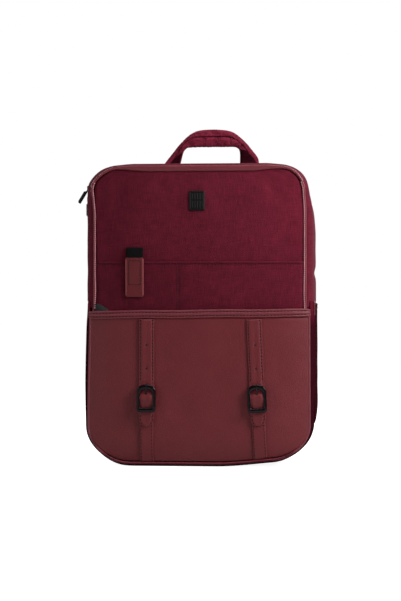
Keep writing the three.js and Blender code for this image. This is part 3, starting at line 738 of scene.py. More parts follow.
def swept(path, across, outward, section, closed=False, tip=0.4 * MM):
    """A section (offsets across and outward) carried along a path; an open band gets small rounded ends."""
    path, across, outward = (np.asarray(a, float) for a in (path, across, outward))
    across = np.broadcast_to(across, path.shape)
    outward = np.broadcast_to(outward, path.shape)
    section = np.asarray(section, float)
    if section.ndim == 2:
        section = np.broadcast_to(section, (len(path),) + section.shape)
    if not closed:
        centre = section.mean(axis=1, keepdims=True)
        first, last = (centre[i] + (section[i] - centre[i]) * 0.82 for i in (0, -1))
        along = [unit(path[0] - path[1]) * tip, unit(path[-1] - path[-2]) * tip]
        path = np.concatenate([[path[0] + along[0]], path, [path[-1] + along[1]]])
        across = np.concatenate([across[:1], across, across[-1:]])
        outward = np.concatenate([outward[:1], outward, outward[-1:]])
        section = np.concatenate([[first], section, [last]])
    points = path[:, None] + across[:, None] * section[..., :1] + outward[:, None] * section[..., 1:]
    run = lengths(path)
    girth = lengths(section[len(section) // 2])
    places = np.stack(np.broadcast_arrays(girth[None, :], run[:, None], np.zeros((1, 1))), axis=-1)
    return points.reshape(-1, 3), ring_faces(len(path), section.shape[1], closed), places.reshape(-1, 3)


def sweep(name, path, across, outward, section, material, closed=False, **options):
    points, faces, places = swept(path, across, outward, section, closed)
    return add_piece(name, points, faces, material, places, **options)


def oval(width, height, sides=12, square=0.7):
    """A rounded section, squarer than an ellipse."""
    angle = np.arange(sides) * 2 * math.pi / sides
    c, s = np.cos(angle), np.sin(angle)
    return np.stack([np.sign(c) * np.abs(c) ** square * width / 2,
                     np.sign(s) * np.abs(s) ** square * height / 2], axis=1)


def capsules(centres, along, outward, length, radius, sides=6, dip=0.5):
    """Small rounded pins: stitches, beads and zip teeth."""
    centres, along = np.asarray(centres, float), unit(along)
    outward = unit(np.broadcast_to(outward, centres.shape))
    across = unit(np.cross(along, outward))
    angle = np.arange(sides) * 2 * math.pi / sides
    around = (across[:, None] * np.cos(angle)[None, :, None]
              + outward[:, None] * np.sin(angle)[None, :, None])
    parts = []
    for t, size, drop in ((-0.5, 0.45, dip), (-0.3, 1, 0), (0.3, 1, 0), (0.5, 0.45, dip)):
        middle = centres + along * (t * length) - outward * (drop * radius)
        parts.append(middle[:, None] + around * (size * radius))
    points = np.stack(parts, axis=1)
    each = ring_faces(4, sides)
    faces = [[i + n * 4 * sides for i in face] for n in range(len(centres)) for face in each]
    return points.reshape(-1, 3), faces


THREADS = {}


def stitch(line, outward, colour="dark_thread", body=BODY, pitch=4.3 * MM, length=2.6 * MM, radius=0.5 * MM):
    """A row of stitches along a line; the rows of one colour on one body make one piece."""
    line = np.asarray(line, float)
    outward = np.broadcast_to(np.asarray(outward, float), line.shape)
    centres, out, ways = resample(line, pitch, outward, np.gradient(line, axis=0))
    parts = THREADS.setdefault((colour, body), Parts())
    parts.add(*capsules(centres, ways, out, length, radius))


def sew():
    for (colour, body), parts in THREADS.items():
        label = "_to_".join(body) if isinstance(body, tuple) else body
        parts.piece(f"stitches_{colour}_{label}", colour, body=body)


def flat_line(x, y, z, count=2):
    """A line between two places, given as pairs or single values."""
    pick = [np.linspace(*(v if np.ndim(v) else (v, v)), count) for v in (x, y, z)]
    return np.stack(pick, axis=1)


# ---------------------------------------------------------------- front surfaces


def side_width(z):
    return 3.6 * MM + 3.6 * MM * (1 - smoothstep(FOLD, TOP - TOP_RADIUS, z))


def side_inset(z):
    """How far the leather edge is set in from the outline down the sides, where the lip shows beside it."""
    return 3.4 * MM * smoothstep(FOLD - 30 * MM, FOLD - 6 * MM, z) * (1 - smoothstep(0.325, 0.375, z))


def top_width(x):
    return 3.6 * MM + 5.2 * MM * (1 - smoothstep(0.072, 0.118, np.abs(x)))


def rise(distance, reach):
    return 1 - (1 - np.clip(distance / reach, 0, 1)) ** 2


# soft hollows in the fabric front: middle, depth, reach across and up, slant
DENTS = np.array([
    (98, 362, 1.9, 13, 16, 0.7), (-105, 356, 1.6, 12, 22, -0.5), (-52, 368, 1.2, 12, 10, 0.3),
    (-118, 262, 1.5, 14, 46, 0.0), (30, 345, 0.8, 16, 24, 0.4), (112, 300, 0.9, 12, 30, -0.3),
]) * [MM, MM, MM, MM, MM, 1]
EDGE_HALF = HALF - 3.2 * MM  # where the front panel's fabric ends, under the binding
EDGE_TOP = TOP - 3.4 * MM
EDGE_RADIUS = TOP_RADIUS - 3 * MM


def edge_width(z):
    return half_width(z, EDGE_HALF, EDGE_TOP, LOW, EDGE_RADIUS, LOW_RADIUS)


def panel_out(x, z):
    """How far the fabric front stands out from its seam plane."""
    x, z = alike(x, z)
    side = np.clip(edge_width(z) - np.abs(x), 0, None)
    over = np.clip(EDGE_TOP - z, 0, None)
    crown = 3.4 * MM * rise(side, 62 * MM) * rise(over, 66 * MM)
    # tucked in under the inner edge of the binding
    side_bound = side_width(z) - 3.2 * MM
    top_bound = top_width(x) - 3.4 * MM
    tuck = 2.4 * MM * (1 - smoothstep(side_bound - 1 * MM, side_bound + 4.5 * MM, side)
                       * smoothstep(top_bound - 1 * MM, top_bound + 3.5 * MM, over))
    calm = smoothstep(0, 24 * MM, side) * smoothstep(0, 24 * MM, over)
    waves = calm * (1.3 * MM * ripple(x, z, 15, 3.1) + 0.5 * MM * ripple(x, z, 40, 7.7))
    for middle_x, middle_z, depth, wide, tall, slant in DENTS:
        along = (z - middle_z) + slant * (x - middle_x)
        waves = waves - depth * np.exp(-((x - middle_x) / wide) ** 2 - (along / tall) ** 2)
    return crown + waves - tuck


DIVIDER = -27 * MM  # the slip pocket's upright seam


def slip_out(x, z):
    """How far the slip pocket's face stands out."""
    x, z = alike(x, z)
    billow = 0.7 * MM * (1 - (np.clip(np.abs(x), 0, PANEL_HALF) / PANEL_HALF) ** 2)
    seam = 0.8 * MM * np.exp(-((x - DIVIDER) / (4 * MM)) ** 2)
    return panel_out(x, z) + 1.3 * MM + billow - seam * (1 - smoothstep(SLIP_TOP - 12 * MM, SLIP_TOP, z))


def pocket_out(x, z):
    """How far the leather pocket's skin stands out from the seam plane."""
    x, z = alike(x, z)
    flat = np.clip(np.abs(x) / HALF, 0, 1)
    foot = np.clip(z - LOW, 0, None)
    full = 1 - flat ** 4
    ease = 0.35 + 0.65 * rise(foot, 34 * MM)
    waves = (0.8 * MM * ripple(x, z * 0.5, 17, 12.3) + 0.3 * MM * ripple(x, z, 40, 2.3)) * (1 - flat ** 2)
    return 1.6 * MM + 9.2 * MM * full * ease + waves


def on_front(x, z, out):
    x, z, out = alike(x, z, out)
    return np.stack([x, FRONT - out, z], axis=-1)


TOWARDS = np.array([0.0, -1.0, 0.0])


def eased(count, ease):
    """Numbers from -1 to 1, closer together towards the ends the more `ease` there is."""
    u = np.linspace(-1, 1, count)
    return u * (1 - ease) + ease * np.sin(u * math.pi / 2)


def front_grid(surface, z, width, columns, ease):
    """A grid over the front: columns across, each row as wide as `width` says at its height."""
    x = eased(columns, ease)[:, None] * width(z)[None, :]
    return on_front(x, z[None, :], surface(x, np.broadcast_to(z, x.shape)))


def build_front_panel():
    straight = np.linspace(HEM_LOW - 6 * MM, EDGE_TOP - EDGE_RADIUS, 60)
    rows = np.concatenate([straight, turn_up(EDGE_TOP - EDGE_RADIUS, EDGE_RADIUS, 17)])
    grid = front_grid(panel_out, rows, edge_width, 121, 0.45)
    piece = sheet("front_panel_cloth", grid, 3.2 * MM, "front_fabric", body=ACROSS_FOLD)
    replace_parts(piece, "front_panel_upper", "front_panel_lower")

    rows = np.linspace(HEM_LOW - 5 * MM, SLIP_TOP, 34)
    grid = front_grid(slip_out, rows, lambda z: edge_width(z) - 0.4 * MM, 101, 0.35)
    piece = sheet("slip_pocket_cloth", grid, 1.1 * MM, "front_fabric", body=ACROSS_FOLD)
    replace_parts(piece, "slip_pocket")
    # the folded top edge of the slip pocket
    x = np.linspace(-PANEL_HALF + 1 * MM, PANEL_HALF - 1 * MM, 90)
    z = SLIP_TOP - 1.1 * MM
    path = on_front(x, z, slip_out(x, z) - 0.2 * MM)
    section = oval(2.8 * MM, 1.9 * MM)
    sweep("slip_pocket_edge", path, (0, 0, 1), TOWARDS, section, "front_fabric", body=FLAP)
    z = SLIP_TOP - 3.2 * MM
    stitch(on_front(x, z, slip_out(x, z) + 0.1 * MM), TOWARDS, "dark_thread", FLAP)
    for x in (DIVIDER - 2 * MM, DIVIDER + 2 * MM):
        z = np.linspace(SLIP_TOP - 4 * MM, HEM_TOP, 30)
        stitch(on_front(x, z, slip_out(x, z) + 0.05 * MM), TOWARDS, "dark_thread", ACROSS_FOLD)


def smooth_loop(values, reach=4):
    """A moving average round a closed loop."""
    kernel = np.ones(2 * reach + 1) / (2 * reach + 1)
    return np.convolve(np.concatenate([values[-reach:], values, values[:reach]]), kernel, "valid")


BINDING_LEAST = 3.2 * MM
BINDING_LOWER = 6 * MM  # its width round the leather pocket
BEAD_DEPTH = 1.7 * MM
# the binding's section: share of its width in from the outline, and millimetres forward of the seam plane
BINDING_PROFILE = [(0.02, -3.4), (0.0, -1.2), (0.03, 0.2), (0.14, 1.2), (0.35, 1.75), (0.6, 1.7),
                   (0.82, 1.25), (0.97, 0.3), (1.0, -1.0), (0.98, -3.2)]


def build_binding():
    """The leather edge, which is widest along the top and narrow round the corners."""
    points, outward = all_round(HALF, TOP, TOP_RADIUS, LOW, LOW_RADIUS, 2.6 * MM)
    x, z = points.T
    width = np.where(z > TOP - 0.5 * MM, top_width(x), side_width(z))
    width = smooth_loop(np.where(z < FOLD, BINDING_LOWER, width))
    inset = side_inset(z)
    section = np.array([[(-inner - share * max(w - inner, BINDING_LEAST), forward * MM)
                         for share, forward in BINDING_PROFILE] for w, inner in zip(width, inset)])
    path, across = upright(points, FRONT), upright(outward)
    piece = sweep("binding", path, across, TOWARDS, section, "binding", closed=True, body=ACROSS_FOLD)
    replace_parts(piece, "piping_upper", "piping_lower")
    # a fine cord of pale beads along the inner edge, down each side: thread, with a painted highlight in its
    # pale colour for the gleam on the binding's flank
    for sign in (-1, 1):
        on_side = (x * sign > 0.1) & (z > HEM_TOP) & (z < TOP - 18 * MM)
        order = np.argsort(z[on_side])
        edge = np.maximum(width, inset + BINDING_LEAST)[on_side][order]
        bead = path[on_side][order] - across[on_side][order] * (edge[:, None] - 0.1 * MM)
        bead[:, 1] = FRONT - BEAD_DEPTH
        stitch(bead, TOWARDS, "pale_thread", ACROSS_FOLD, 2.7 * MM, 1.7 * MM, 0.75 * MM)


def wall_grid(points, outward, depths, bulge):
    """A wall that runs along an outline; `depths` count back from the front's seam plane."""
    depth = np.asarray(depths, float)
    depth = depth[None, :] if depth.ndim == 1 else depth
    stand = bulge(depth)
    x = points[:, :1] + outward[:, :1] * stand
    z = points[:, 1:] + outward[:, 1:] * stand
    y = np.broadcast_to(FRONT + depth, x.shape)
    return np.stack([x, y, z], axis=-1)


def depth_of(node):
    return low(node)[1] - FRONT, high(node)[1] - FRONT


def side_shares(outward, power):
    """How much each point of an outline faces left and right, from 0 to 1."""
    return (np.clip(sign * outward[:, :1], 0, 1) ** power for sign in (-1, 1))


def build_lip():
    """The front lip of the side wall, which the flap carries."""
    back = depth_of("zip_gusset_front")[1]
    points, outward = over_top(HALF, TOP, TOP_RADIUS, FOLD - 9 * MM)
    depths = np.concatenate([[-1.0 * MM, 0.2 * MM], np.linspace(1.5 * MM, back + 0.6 * MM, 12)])
    turn_in = side_inset(points[:, 1:]) * np.array([1.25, 0.45] + [0] * 12)

    def stand(depth):
        t = np.clip((depth - depths[2]) / (depths[-1] - depths[2]), 0, 1)
        wave = 0.8 * MM * wander(upright(points), 38, 5.0)[:, None]
        left, right = side_shares(outward, 2)
        height = (4.6 * MM + wave) * left + (3.4 * MM + wave) * right + 0.3 * MM * (1 - left - right)
        sunk = 1 - smoothstep(FOLD - 8 * MM, FOLD - 0.5 * MM, points[:, 1:])
        height = height * (1 - sunk) - 1.2 * MM * sunk
        flare = 1.6 * MM * t * (left + right) * (1 - sunk)
        return height * np.sin(math.pi * t * 0.86) + flare - turn_in

    grid = wall_grid(points, outward, depths, stand)
    piece = sheet("gusset_front_cloth", grid, 1.5 * MM, "gusset", body=ACROSS_FOLD)
    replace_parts(piece, "zip_gusset_front")


def build_arch():
    """The side wall behind the zip, over the top."""
    front, back = depth_of("zip_gusset_rear")
    points, outward = over_top(ZIP_HALF, TOP, ZIP_RADIUS, FOLD - 3 * MM)
    depths = np.linspace(front, back, 22)

    def stand(depth):
        folds = 0.9 * MM * np.stack([wander(upright(points, d), 30, 9.0) for d in depths], axis=1)
        share = np.clip(np.abs(outward[:, :1]), 0, 1) ** 2 * (1 - smoothstep(0.30, 0.36, points[:, 1:]))
        left, right = side_shares(outward, 1)
        corner = 4 * MM * right * np.clip(outward[:, 1:], 0, 1)
        pinch = 2.2 * MM * np.exp(-((points[:, 1:] - 0.252) / 0.006) ** 2) * right
        round_part = math.pi * (depth - front) / (back - front)
        swell = np.sin(np.clip(round_part, 0, math.pi)) ** 0.6
        return ((3.4 * MM * share + 0.4 * MM * left - pinch - corner) * swell
                + folds * share * np.sin(round_part))

    grid = wall_grid(points, outward, depths, stand)
    piece = sheet("gusset_rear_cloth", grid, 1.8 * MM, "gusset")
    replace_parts(piece, "zip_gusset_rear")
    # a seam tape inside each end of the arch closes it against the lower wall
    lining_half = high("compartment_lining")[0]
    share = np.linspace(0, 1, 6)[None, :]
    for side, sign, edge in (("left", -1, grid[0]), ("right", 1, grid[-1])):
        reach = sign * edge[:, :1] - 0.9 * MM
        x = sign * (reach + (lining_half - 0.6 * MM - reach) * share)
        y = np.broadcast_to(edge[:, 1:2], x.shape)
        z = np.full_like(x, FOLD - 1.6 * MM)
        sheet(f"seam_tape_{side}", np.stack([x, y, z], axis=-1), 0.8 * MM, "lining")


def build_lower_wall():
    """One strip down the sides and under the foot, which rolls forward under the pocket."""
    back = depth_of("bottom_gusset")[1]
    points, outward = under_foot(LOWER_HALF, 0, WALL_RADIUS, FOLD - 0.3 * MM)
    height = points[:, 1:]
    down = smoothstep(0.35, 0.95, -outward[:, 1:])
    rest = np.linspace(1.5 * MM, back, 34)
    forward = np.concatenate([np.array([-6.5, -7.5, -6.8, -4.5, -1.5]) * MM, rest])
    straight = np.concatenate([np.array([0, 0.3, 0.6, 0.9, 1.2]) * MM, rest])
    roll = np.concatenate([np.array([6.5, 4.0, 1.8, 0.5, 0.1]) * MM, 0 * rest])

    def stand(depth):
        t = np.clip(depth / back, 0, 1)
        folds = 1.1 * MM * np.stack([wander(upright(points, d), 26, 2.0) for d in straight], axis=1)
        left, right = side_shares(outward, 2.5)
        fade = 0.85 + 0.15 * (1 - smoothstep(FOLD - 45 * MM, FOLD, height))
        tall = 0.65 + 0.35 * smoothstep(0.03, 0.12, height)
        swell = (7.4 * MM * left + 5.4 * MM * right) * np.sin(math.pi * t ** 0.62) ** 0.7 * fade * tall
        # held in below the zip's left end, so that the pull clears it
        held_in = np.exp(-((depth - 28 * MM) / (13 * MM)) ** 2) * (outward[:, :1] < 0)
        held_in = held_in * smoothstep(FOLD - 26 * MM, FOLD - 9 * MM, height)
        folds = folds * (1 - held_in) * (left + right) * np.sin(math.pi * t)
        return swell * (1 - 0.5 * held_in) + folds - roll[None, :] * down

    grid = wall_grid(points, outward, forward * down + straight * (1 - down), stand)
    piece = sheet("gusset_lower_cloth", grid, 2.2 * MM, "lower_wall")
    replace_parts(piece, "bottom_gusset")


COIL_THICKNESS = 2.6 * MM
TOOTH_PITCH = 1.55 * MM


def build_zip():
    def course(half, foot):
        """The zip's course over the top, as far in from the wall as its half width says."""
        return over_top(half, TOP - (ZIP_HALF - half), ZIP_RADIUS - (ZIP_HALF - half), foot)

    for side, body in (("front", FLAP), ("rear", BODY)):
        tape, coil = f"zip_tape_{side}", f"zip_coil_{side}"
        points, outward = course(high(tape)[0], FOLD + 0.6 * MM)
        grid = wall_grid(points, outward, np.linspace(*depth_of(tape), 5), lambda depth: 0 * depth)
        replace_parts(sheet(f"{tape}_cloth", grid, 1.0 * MM, "lining", body=body), tape)
        front, back = depth_of(coil)
        points, outward = course(high(coil)[0] - COIL_THICKNESS / 2, FOLD + 1.5 * MM)
        line, out = upright(points, FRONT + (front + back) / 2), upright(outward)
        centres, ways = resample(line, TOOTH_PITCH, out)
        teeth = Parts()
        teeth.add(*capsules(centres, np.tile([0, 1.0, 0], (len(centres), 1)), ways, (back - front) * 1.05,
                            0.62 * MM, 6, 0.3))
        teeth.add(*swept(line, out, (0, 1.0, 0), oval(1.5 * MM, 1.2 * MM, 8), tip=0.3 * MM))
        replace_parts(teeth.piece(f"zip_teeth_{side}", "coil", body=body), coil)


NODE_PULL = 2.6 * MM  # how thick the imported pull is; the grip's extra thickness goes outward
PULL_ARM = 1.5 * MM
PULL_GRIP = 4.4 * MM


def build_pull(name, leans):
    """A moulded zip pull: thin arms from the slider, then a thick rounded grip."""
    a, b = low(f"zip_pull_{name}"), high(f"zip_pull_{name}")
    x, y = (a[:2] + b[:2]) / 2
    inset = NODE_PULL / 2
    start = np.array([b[0] - inset if leans else x, y, b[2] - inset])
    end = np.array([a[0] + inset if leans else x, y, a[2] + 0.6 * MM])
    path = start + np.linspace(0, 1, 26)[:, None] * (end - start)
    side = np.array([0, 1.0, 0])
    thin = unit(np.cross(side, end - start))
    run = lengths(path)
    fat = smoothstep(4 * MM, 6.5 * MM, run) * (0.62 + 0.38 * rise(run[-1] - run, 2 * MM))
    width = NODE_PULL + (b[1] - a[1] - NODE_PULL) * fat
    depth = PULL_ARM + (PULL_GRIP - PULL_ARM) * fat
    section = oval(1, 1, 14, 0.55)[None] * np.stack([width, depth], axis=1)[:, None]
    section[..., 1] += np.clip(depth - NODE_PULL, 0, None)[:, None] / 2
    grip = Parts()
    grip.add(*swept(path, side, thin, section))
    piece = grip.piece(f"pull_{name}_grip", "plastic", soft=False, body=f"pull_{name}")
    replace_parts(piece, f"zip_pull_{name}")


# ---------------------------------------------------------------- leather pocket


# the folded band's section, up and forward in millimetres: three ridges between two rows of stitching
HEM_PROFILE = [(-5.2, -0.6), (-5.4, 0.3), (-4.9, 1.2), (-3.9, 1.5), (-3.2, 1.1), (-2.8, 0.55), (-2.4, 0.6),
               (-1.9, 1.3), (-0.9, 1.75), (0.4, 1.8), (1.4, 1.4), (1.9, 0.7), (2.3, 0.6), (2.8, 1.3),
               (3.7, 1.75), (4.7, 1.5), (5.3, 0.6), (5.2, -0.6)]
HEM_STITCHES = (4.4 * MM, 2.9 * MM, 0.6 * MM)
LINING_FOOT = LOW + 40 * MM


def build_pocket():
    foot = LOW + 2.5 * MM

    def width(z):
        return half_width(z, HALF, 1.0, foot, TOP_RADIUS, LOW_RADIUS) + 0.3 * MM

    knee = foot + LOW_RADIUS
    rows = np.concatenate([turn_down(knee, LOW_RADIUS, 20), np.linspace(knee, HEM_LOW + 1.5 * MM, 44)])
    piece = sheet("pocket_leather", front_grid(pocket_out, rows, width, 111, 0.3), 1.5 * MM, "leather")
    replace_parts(piece, "front_pocket")

    # the folded top band
    x = np.linspace(-HALF - 1.2 * MM, HALF + 1.0 * MM, 130)
    middle = (HEM_LOW + HEM_TOP) / 2
    level = middle + 0.5 * MM + 1.5 * MM * x / HALF + 0.3 * MM * np.sin(x * 60)
    path = on_front(x, level, pocket_out(x, middle) + 0.2 * MM)
    ends = np.ones(len(x))
    ends[:3] = (0.72, 0.88, 0.96)
    ends[-3:] = (0.96, 0.88, 0.72)
    section = (np.array(HEM_PROFILE) * [MM, 1.3 * MM])[None] * ends[:, None, None]
    piece = sweep("pocket_hem_band", path, (0, 0, 1), TOWARDS, section, "binding")
    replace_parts(piece, "pocket_hem")
    for offset in (-2.6 * MM, 2.05 * MM):
        stitch(path[2:-2] + [0, -0.7 * MM, offset], TOWARDS, "dark_thread", BODY, *HEM_STITCHES)

    # black lining, which shows above the band at the left where the mouth gapes
    x = np.linspace(-HALF + 5 * MM, HALF - 16 * MM, 60)
    gape = HEM_TOP - HEM_LOW + 2.5 * MM
    reach = HEM_LOW + 6 * MM + gape * (1 - smoothstep(-0.134, -0.108, x))
    z = LINING_FOOT + (reach[:, None] - LINING_FOOT) * np.linspace(0, 1, 14)[None, :]
    out = pocket_out(x[:, None], np.minimum(z, HEM_LOW)) - 2.2 * MM
    out = out + 1.4 * MM * smoothstep(HEM_LOW, HEM_TOP, z) * (1 - smoothstep(-0.130, -0.105, x))[:, None]
    piece = sheet("pocket_lining_cloth", on_front(x[:, None], z, out), 0.5 * MM, "lining")
    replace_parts(piece, "pocket_lining")

    # dark welt under the pocket's rounded foot
    points, outward = under_foot(HALF - 0.6 * MM, LOW - 0.4 * MM, LOW_RADIUS, FOLD - 14 * MM)
    forward = 0.9 * MM + 5.0 * MM * smoothstep(0.5, 0.98, -outward[:, 1])
    path = upright(points, FRONT - forward)
    sweep("pocket_welt", path, upright(outward), TOWARDS, oval(3.2 * MM, 3.0 * MM), "binding")


STRAP_PACKED_HALF = 9.7 * MM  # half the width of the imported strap


class Strap:
    """One front strap: local places (across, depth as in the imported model, height) turned by its lean."""

    def __init__(self, side, lean):
        self.side = side
        self.lean = lean
        strap_low, strap_high = low(f"front_strap_{side}"), high(f"front_strap_{side}")
        self.top = strap_high[2]
        # a strap that leans to the right has its lowest X at the left corner of its top
        corner = strap_low[0] + STRAP_PACKED_HALF * math.cos(lean)
        self.x = corner if lean else (strap_low[0] + strap_high[0]) / 2

    def place(self, across, depth, z):
        """World places of local ones; depth counts back from the seam plane."""
        across, depth, z = alike(across, depth, z)
        drop = z - self.top
        x = self.x + across * math.cos(self.lean) + drop * math.sin(self.lean)
        up = self.top - across * math.sin(self.lean) + drop * math.cos(self.lean)
        return np.stack([x, FRONT + depth, up], axis=-1)


STRAP_LINE = [(-11.9, 191.3), (-11.9, 150), (-11.9, 112), (-12.4, 105), (-14.8, 98), (-17.5, 92), (-17.6, 87),
              (-15.6, 80), (-13.8, 73), (-13.6, 66), (-13.6, 52)]
STRAP_HALF = 9.9 * MM
STRAP_TIP = 52 * MM
HOLES = (158 * MM, 128 * MM)
BAR_Y = -13.8 * MM
BAR_Z = 89 * MM


def build_strap(strap):
    side = strap.side
    line = spline(STRAP_LINE, 150) * MM
    line = line[line[:, 1] >= STRAP_TIP - 0.01 * MM]
    # a leather tongue with a rounded tip
    height = np.clip(STRAP_TIP + STRAP_HALF - line[:, 1], 0, STRAP_HALF)
    wide = np.sqrt(np.clip(STRAP_HALF**2 - height**2, (0.6 * MM) ** 2, None))
    u = np.linspace(-1, 1, 25)
    u = 0.5 * u + 0.5 * np.sin(u * math.pi / 2)
    across = u[:, None] * wide[None, :]
    z = np.broadcast_to(line[:, 1], across.shape)
    skin = pocket_out(strap.x, line[:, 1]) - 10.6 * MM
    depth = line[:, 0] - 1.0 * MM - np.clip(skin, -2 * MM, 1 * MM)
    ridges = np.exp(-((np.abs(across) - 0.5 * wide) / (3 * MM)) ** 2)
    crown = 0.45 * MM * (1 - u[:, None] ** 2) + 0.35 * MM * ridges
    depth = depth[None, :] - crown
    for hole in HOLES:
        reach = np.hypot(across, z - hole)
        depth = depth + 1.3 * MM * (1 - smoothstep(1.2 * MM, 2.2 * MM, reach))
    groove = np.exp(-(((wide[None, :] - np.abs(across)) - 2.2 * MM) / (0.6 * MM)) ** 2)
    depth = depth + 0.55 * MM * groove
    order = slice(None, None, -1)
    grid = strap.place(across[:, order], depth[:, order], z[:, order])
    piece = sheet(f"strap_{side}", grid, 2.0 * MM, "leather")
    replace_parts(piece, f"front_strap_{side}")
    # stitching round both edges and the tip
    inset = np.clip(wide - 2.2 * MM, 0, None)
    edge_in = line[:, 0] - 1.05 * MM - np.clip(skin, -2 * MM, 1 * MM) - 0.1 * MM
    for foot, head in ((STRAP_TIP + 2.4 * MM, 68 * MM), (111 * MM, strap.top)):
        keep = (line[:, 1] > foot) & (line[:, 1] < head)
        for sign in (-1, 1):
            seam = strap.place(sign * inset[keep], edge_in[keep], line[keep, 1])
            stitch(seam, TOWARDS, "dark_thread", BODY)
    # painted shade: dark discs sit in the punched holes, standing in for the shade inside them
    hole_shade = Parts()
    for hole in HOLES:
        middle = strap.place(0, -11.9 * MM - 0.1 * MM, hole)
        hole_shade.add(*capsules([middle], [(0, 1.0, 0)], [(0, 0, 1.0)], 0.9 * MM, 1.75 * MM, 12, 0))
    hole_shade.piece(f"strap_hole_shade_{side}", "lining")

    # the chape: the strip that holds the buckle, sewn down to the bottom seam
    foot = LOW + 1.5 * MM
    z = np.linspace(foot, BAR_Z - 4 * MM, 40)
    u = np.linspace(-1, 1, 15)
    half = 9.0 * MM
    out = pocket_out(strap.x, z) + 1.9 * MM
    depth = -out[None, :] - 0.35 * MM * (1 - u[:, None] ** 4)
    grid = strap.place(u[:, None] * half, depth, np.broadcast_to(z, depth.shape))
    strip = sheet(f"chape_{side}", grid, 1.5 * MM, "leather")
    angle = np.linspace(math.radians(-170), math.radians(90), 26)
    radius = 2.4 * MM
    loop = np.stack([np.cos(angle) * radius, np.sin(angle) * radius], axis=1)
    loops = Parts()
    for sign in (-1, 1):
        middle = sign * 5.6 * MM
        path = strap.place(middle, BAR_Y - loop[:, 0], BAR_Z + loop[:, 1])
        way = strap.place(middle, BAR_Y - loop[:, 0] * 2, BAR_Z + loop[:, 1] * 2) - path
        across_way = strap.place(1.0, 0, 0) - strap.place(0.0, 0, 0)
        loops.add(*swept(path, across_way, unit(way), oval(6.6 * MM, 1.3 * MM, 10)))
    loops.piece(f"chape_loop_{side}", "leather")
    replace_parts(strip, f"buckle_chape_{side}")
    for sign in (-1, 1):
        row = z[z < STRAP_TIP + 4 * MM]
        seam = strap.place(sign * 7.0 * MM, -(pocket_out(strap.x, row) + 2.2 * MM), row)
        stitch(seam, TOWARDS, "dark_thread")


def arched(half, foot, top, radius, crown, count=14):
    """The closed outline of a buckle: flat foot, straight sides, arched top. It runs clockwise from the
    middle of the foot."""
    def bend(a, b, c, d):
        t = np.linspace(0, 1, count, endpoint=False)[:, None]
        a, b, c, d = (np.array(v) for v in (a, b, c, d))
        return (1 - t) ** 3 * a + 3 * (1 - t) ** 2 * t * b + 3 * (1 - t) * t**2 * c + t**3 * d

    def line(a, b, n=6):
        t = np.linspace(0, 1, n, endpoint=False)[:, None]
        return np.array(a) * (1 - t) + np.array(b) * t

    angle = np.linspace(0, math.pi / 2, 6, endpoint=False)
    corner = np.stack([-half + radius * (1 - np.sin(angle)), foot + radius * (1 - np.cos(angle))], axis=1)
    left = np.concatenate([
        line((0, foot), (-half + radius, foot)), corner, line((-half, foot + radius), (-half, top - crown)),
        bend((-half, top - crown), (-half, top - crown * 0.4), (-half * 0.62, top), (0, top)),
    ])
    right = (left * [-1, 1])[::-1]
    return np.concatenate([left, [[0, top]], right[:-1]])


def between(outer, inner, thickness, depth, place, sides=14, square=0.72):
    """A solid band between two outlines, as thick as `thickness` and centred on `depth`."""
    middle, reach = (outer + inner) / 2, (outer - inner) / 2
    section = oval(2, 2, sides, square)
    flat = middle[:, None] + reach[:, None] * section[None, :, :1]
    deep = depth + np.asarray(thickness).reshape(-1, 1) / 2 * section[None, :, 1]
    deep = np.broadcast_to(deep, flat.shape[:2])
    return place(flat[..., 0], deep, flat[..., 1])


# half width, foot, top, corner radius and height of the arch
BUCKLE_OUTER = (12.3 * MM, 71 * MM, 107 * MM, 3.4 * MM, 9 * MM)
BUCKLE_INNER = (8.4 * MM, 76.4 * MM, 100.8 * MM, 1.6 * MM, 6.6 * MM)


def build_buckle(strap):
    side = strap.side
    frame_parts = Parts()
    outer, inner = arched(*BUCKLE_OUTER), arched(*BUCKLE_INNER)
    points = between(outer, inner, 3.6 * MM, -17.9 * MM, strap.place)
    frame_parts.add(points, ring_faces(len(outer), 14, True))
    bar = strap.place(np.linspace(-11.2, 11.2, 9) * MM, BAR_Y, BAR_Z)
    across_way = np.array([0, 0, 1.0])
    frame_parts.add(*swept(bar, across_way, TOWARDS, oval(2.4 * MM, 2.4 * MM, 12, 1.0)))
    for sign in (-1, 1):
        lug = strap.place(sign * 10.9 * MM, np.linspace(-16.8, -12.9, 5) * MM, BAR_Z)
        frame_parts.add(*swept(lug, (1.0, 0, 0), (0, 0, 1.0), oval(2.2 * MM, 3.4 * MM, 12)))
    piece = frame_parts.piece(f"buckle_{side}", "gunmetal", soft=False, body=f"frame_{side}")
    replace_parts(piece, f"buckle_frame_{side}")

    prong = Parts()
    line = spline([(-15.4, 90.6), (-18.0, 95.9), (-20.3, 100.6), (-20.9, 104.0), (-20.8, 107.5)], 24) * MM
    path = strap.place(0, line[:, 0], line[:, 1])
    way = np.gradient(path, axis=0)
    across_way = strap.place(1.0, 0, 0) - strap.place(0.0, 0, 0)
    size = np.interp(np.linspace(0, 1, 24), [0, 0.8, 1], [1.0, 1.0, 0.72])
    prong.add(*swept(path, across_way, unit(np.cross(across_way, way)), oval(2.4 * MM, 1.9 * MM, 10)[None]
                     * size[:, None, None]))
    angle = np.linspace(0, 2 * math.pi, 24, endpoint=False)
    ring = strap.place(0, BAR_Y + 1.95 * MM * np.sin(angle), BAR_Z + 1.95 * MM * np.cos(angle))
    middle = strap.place(0, BAR_Y, BAR_Z)
    prong.add(*swept(ring, across_way, unit(ring - middle), oval(2.4 * MM, 0.9 * MM, 10), closed=True))
    piece = prong.piece(f"prong_{side}_pin", "gunmetal", soft=False, body=f"prong_{side}")
    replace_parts(piece, f"buckle_prong_{side}")


# ---------------------------------------------------------------- tab, badge


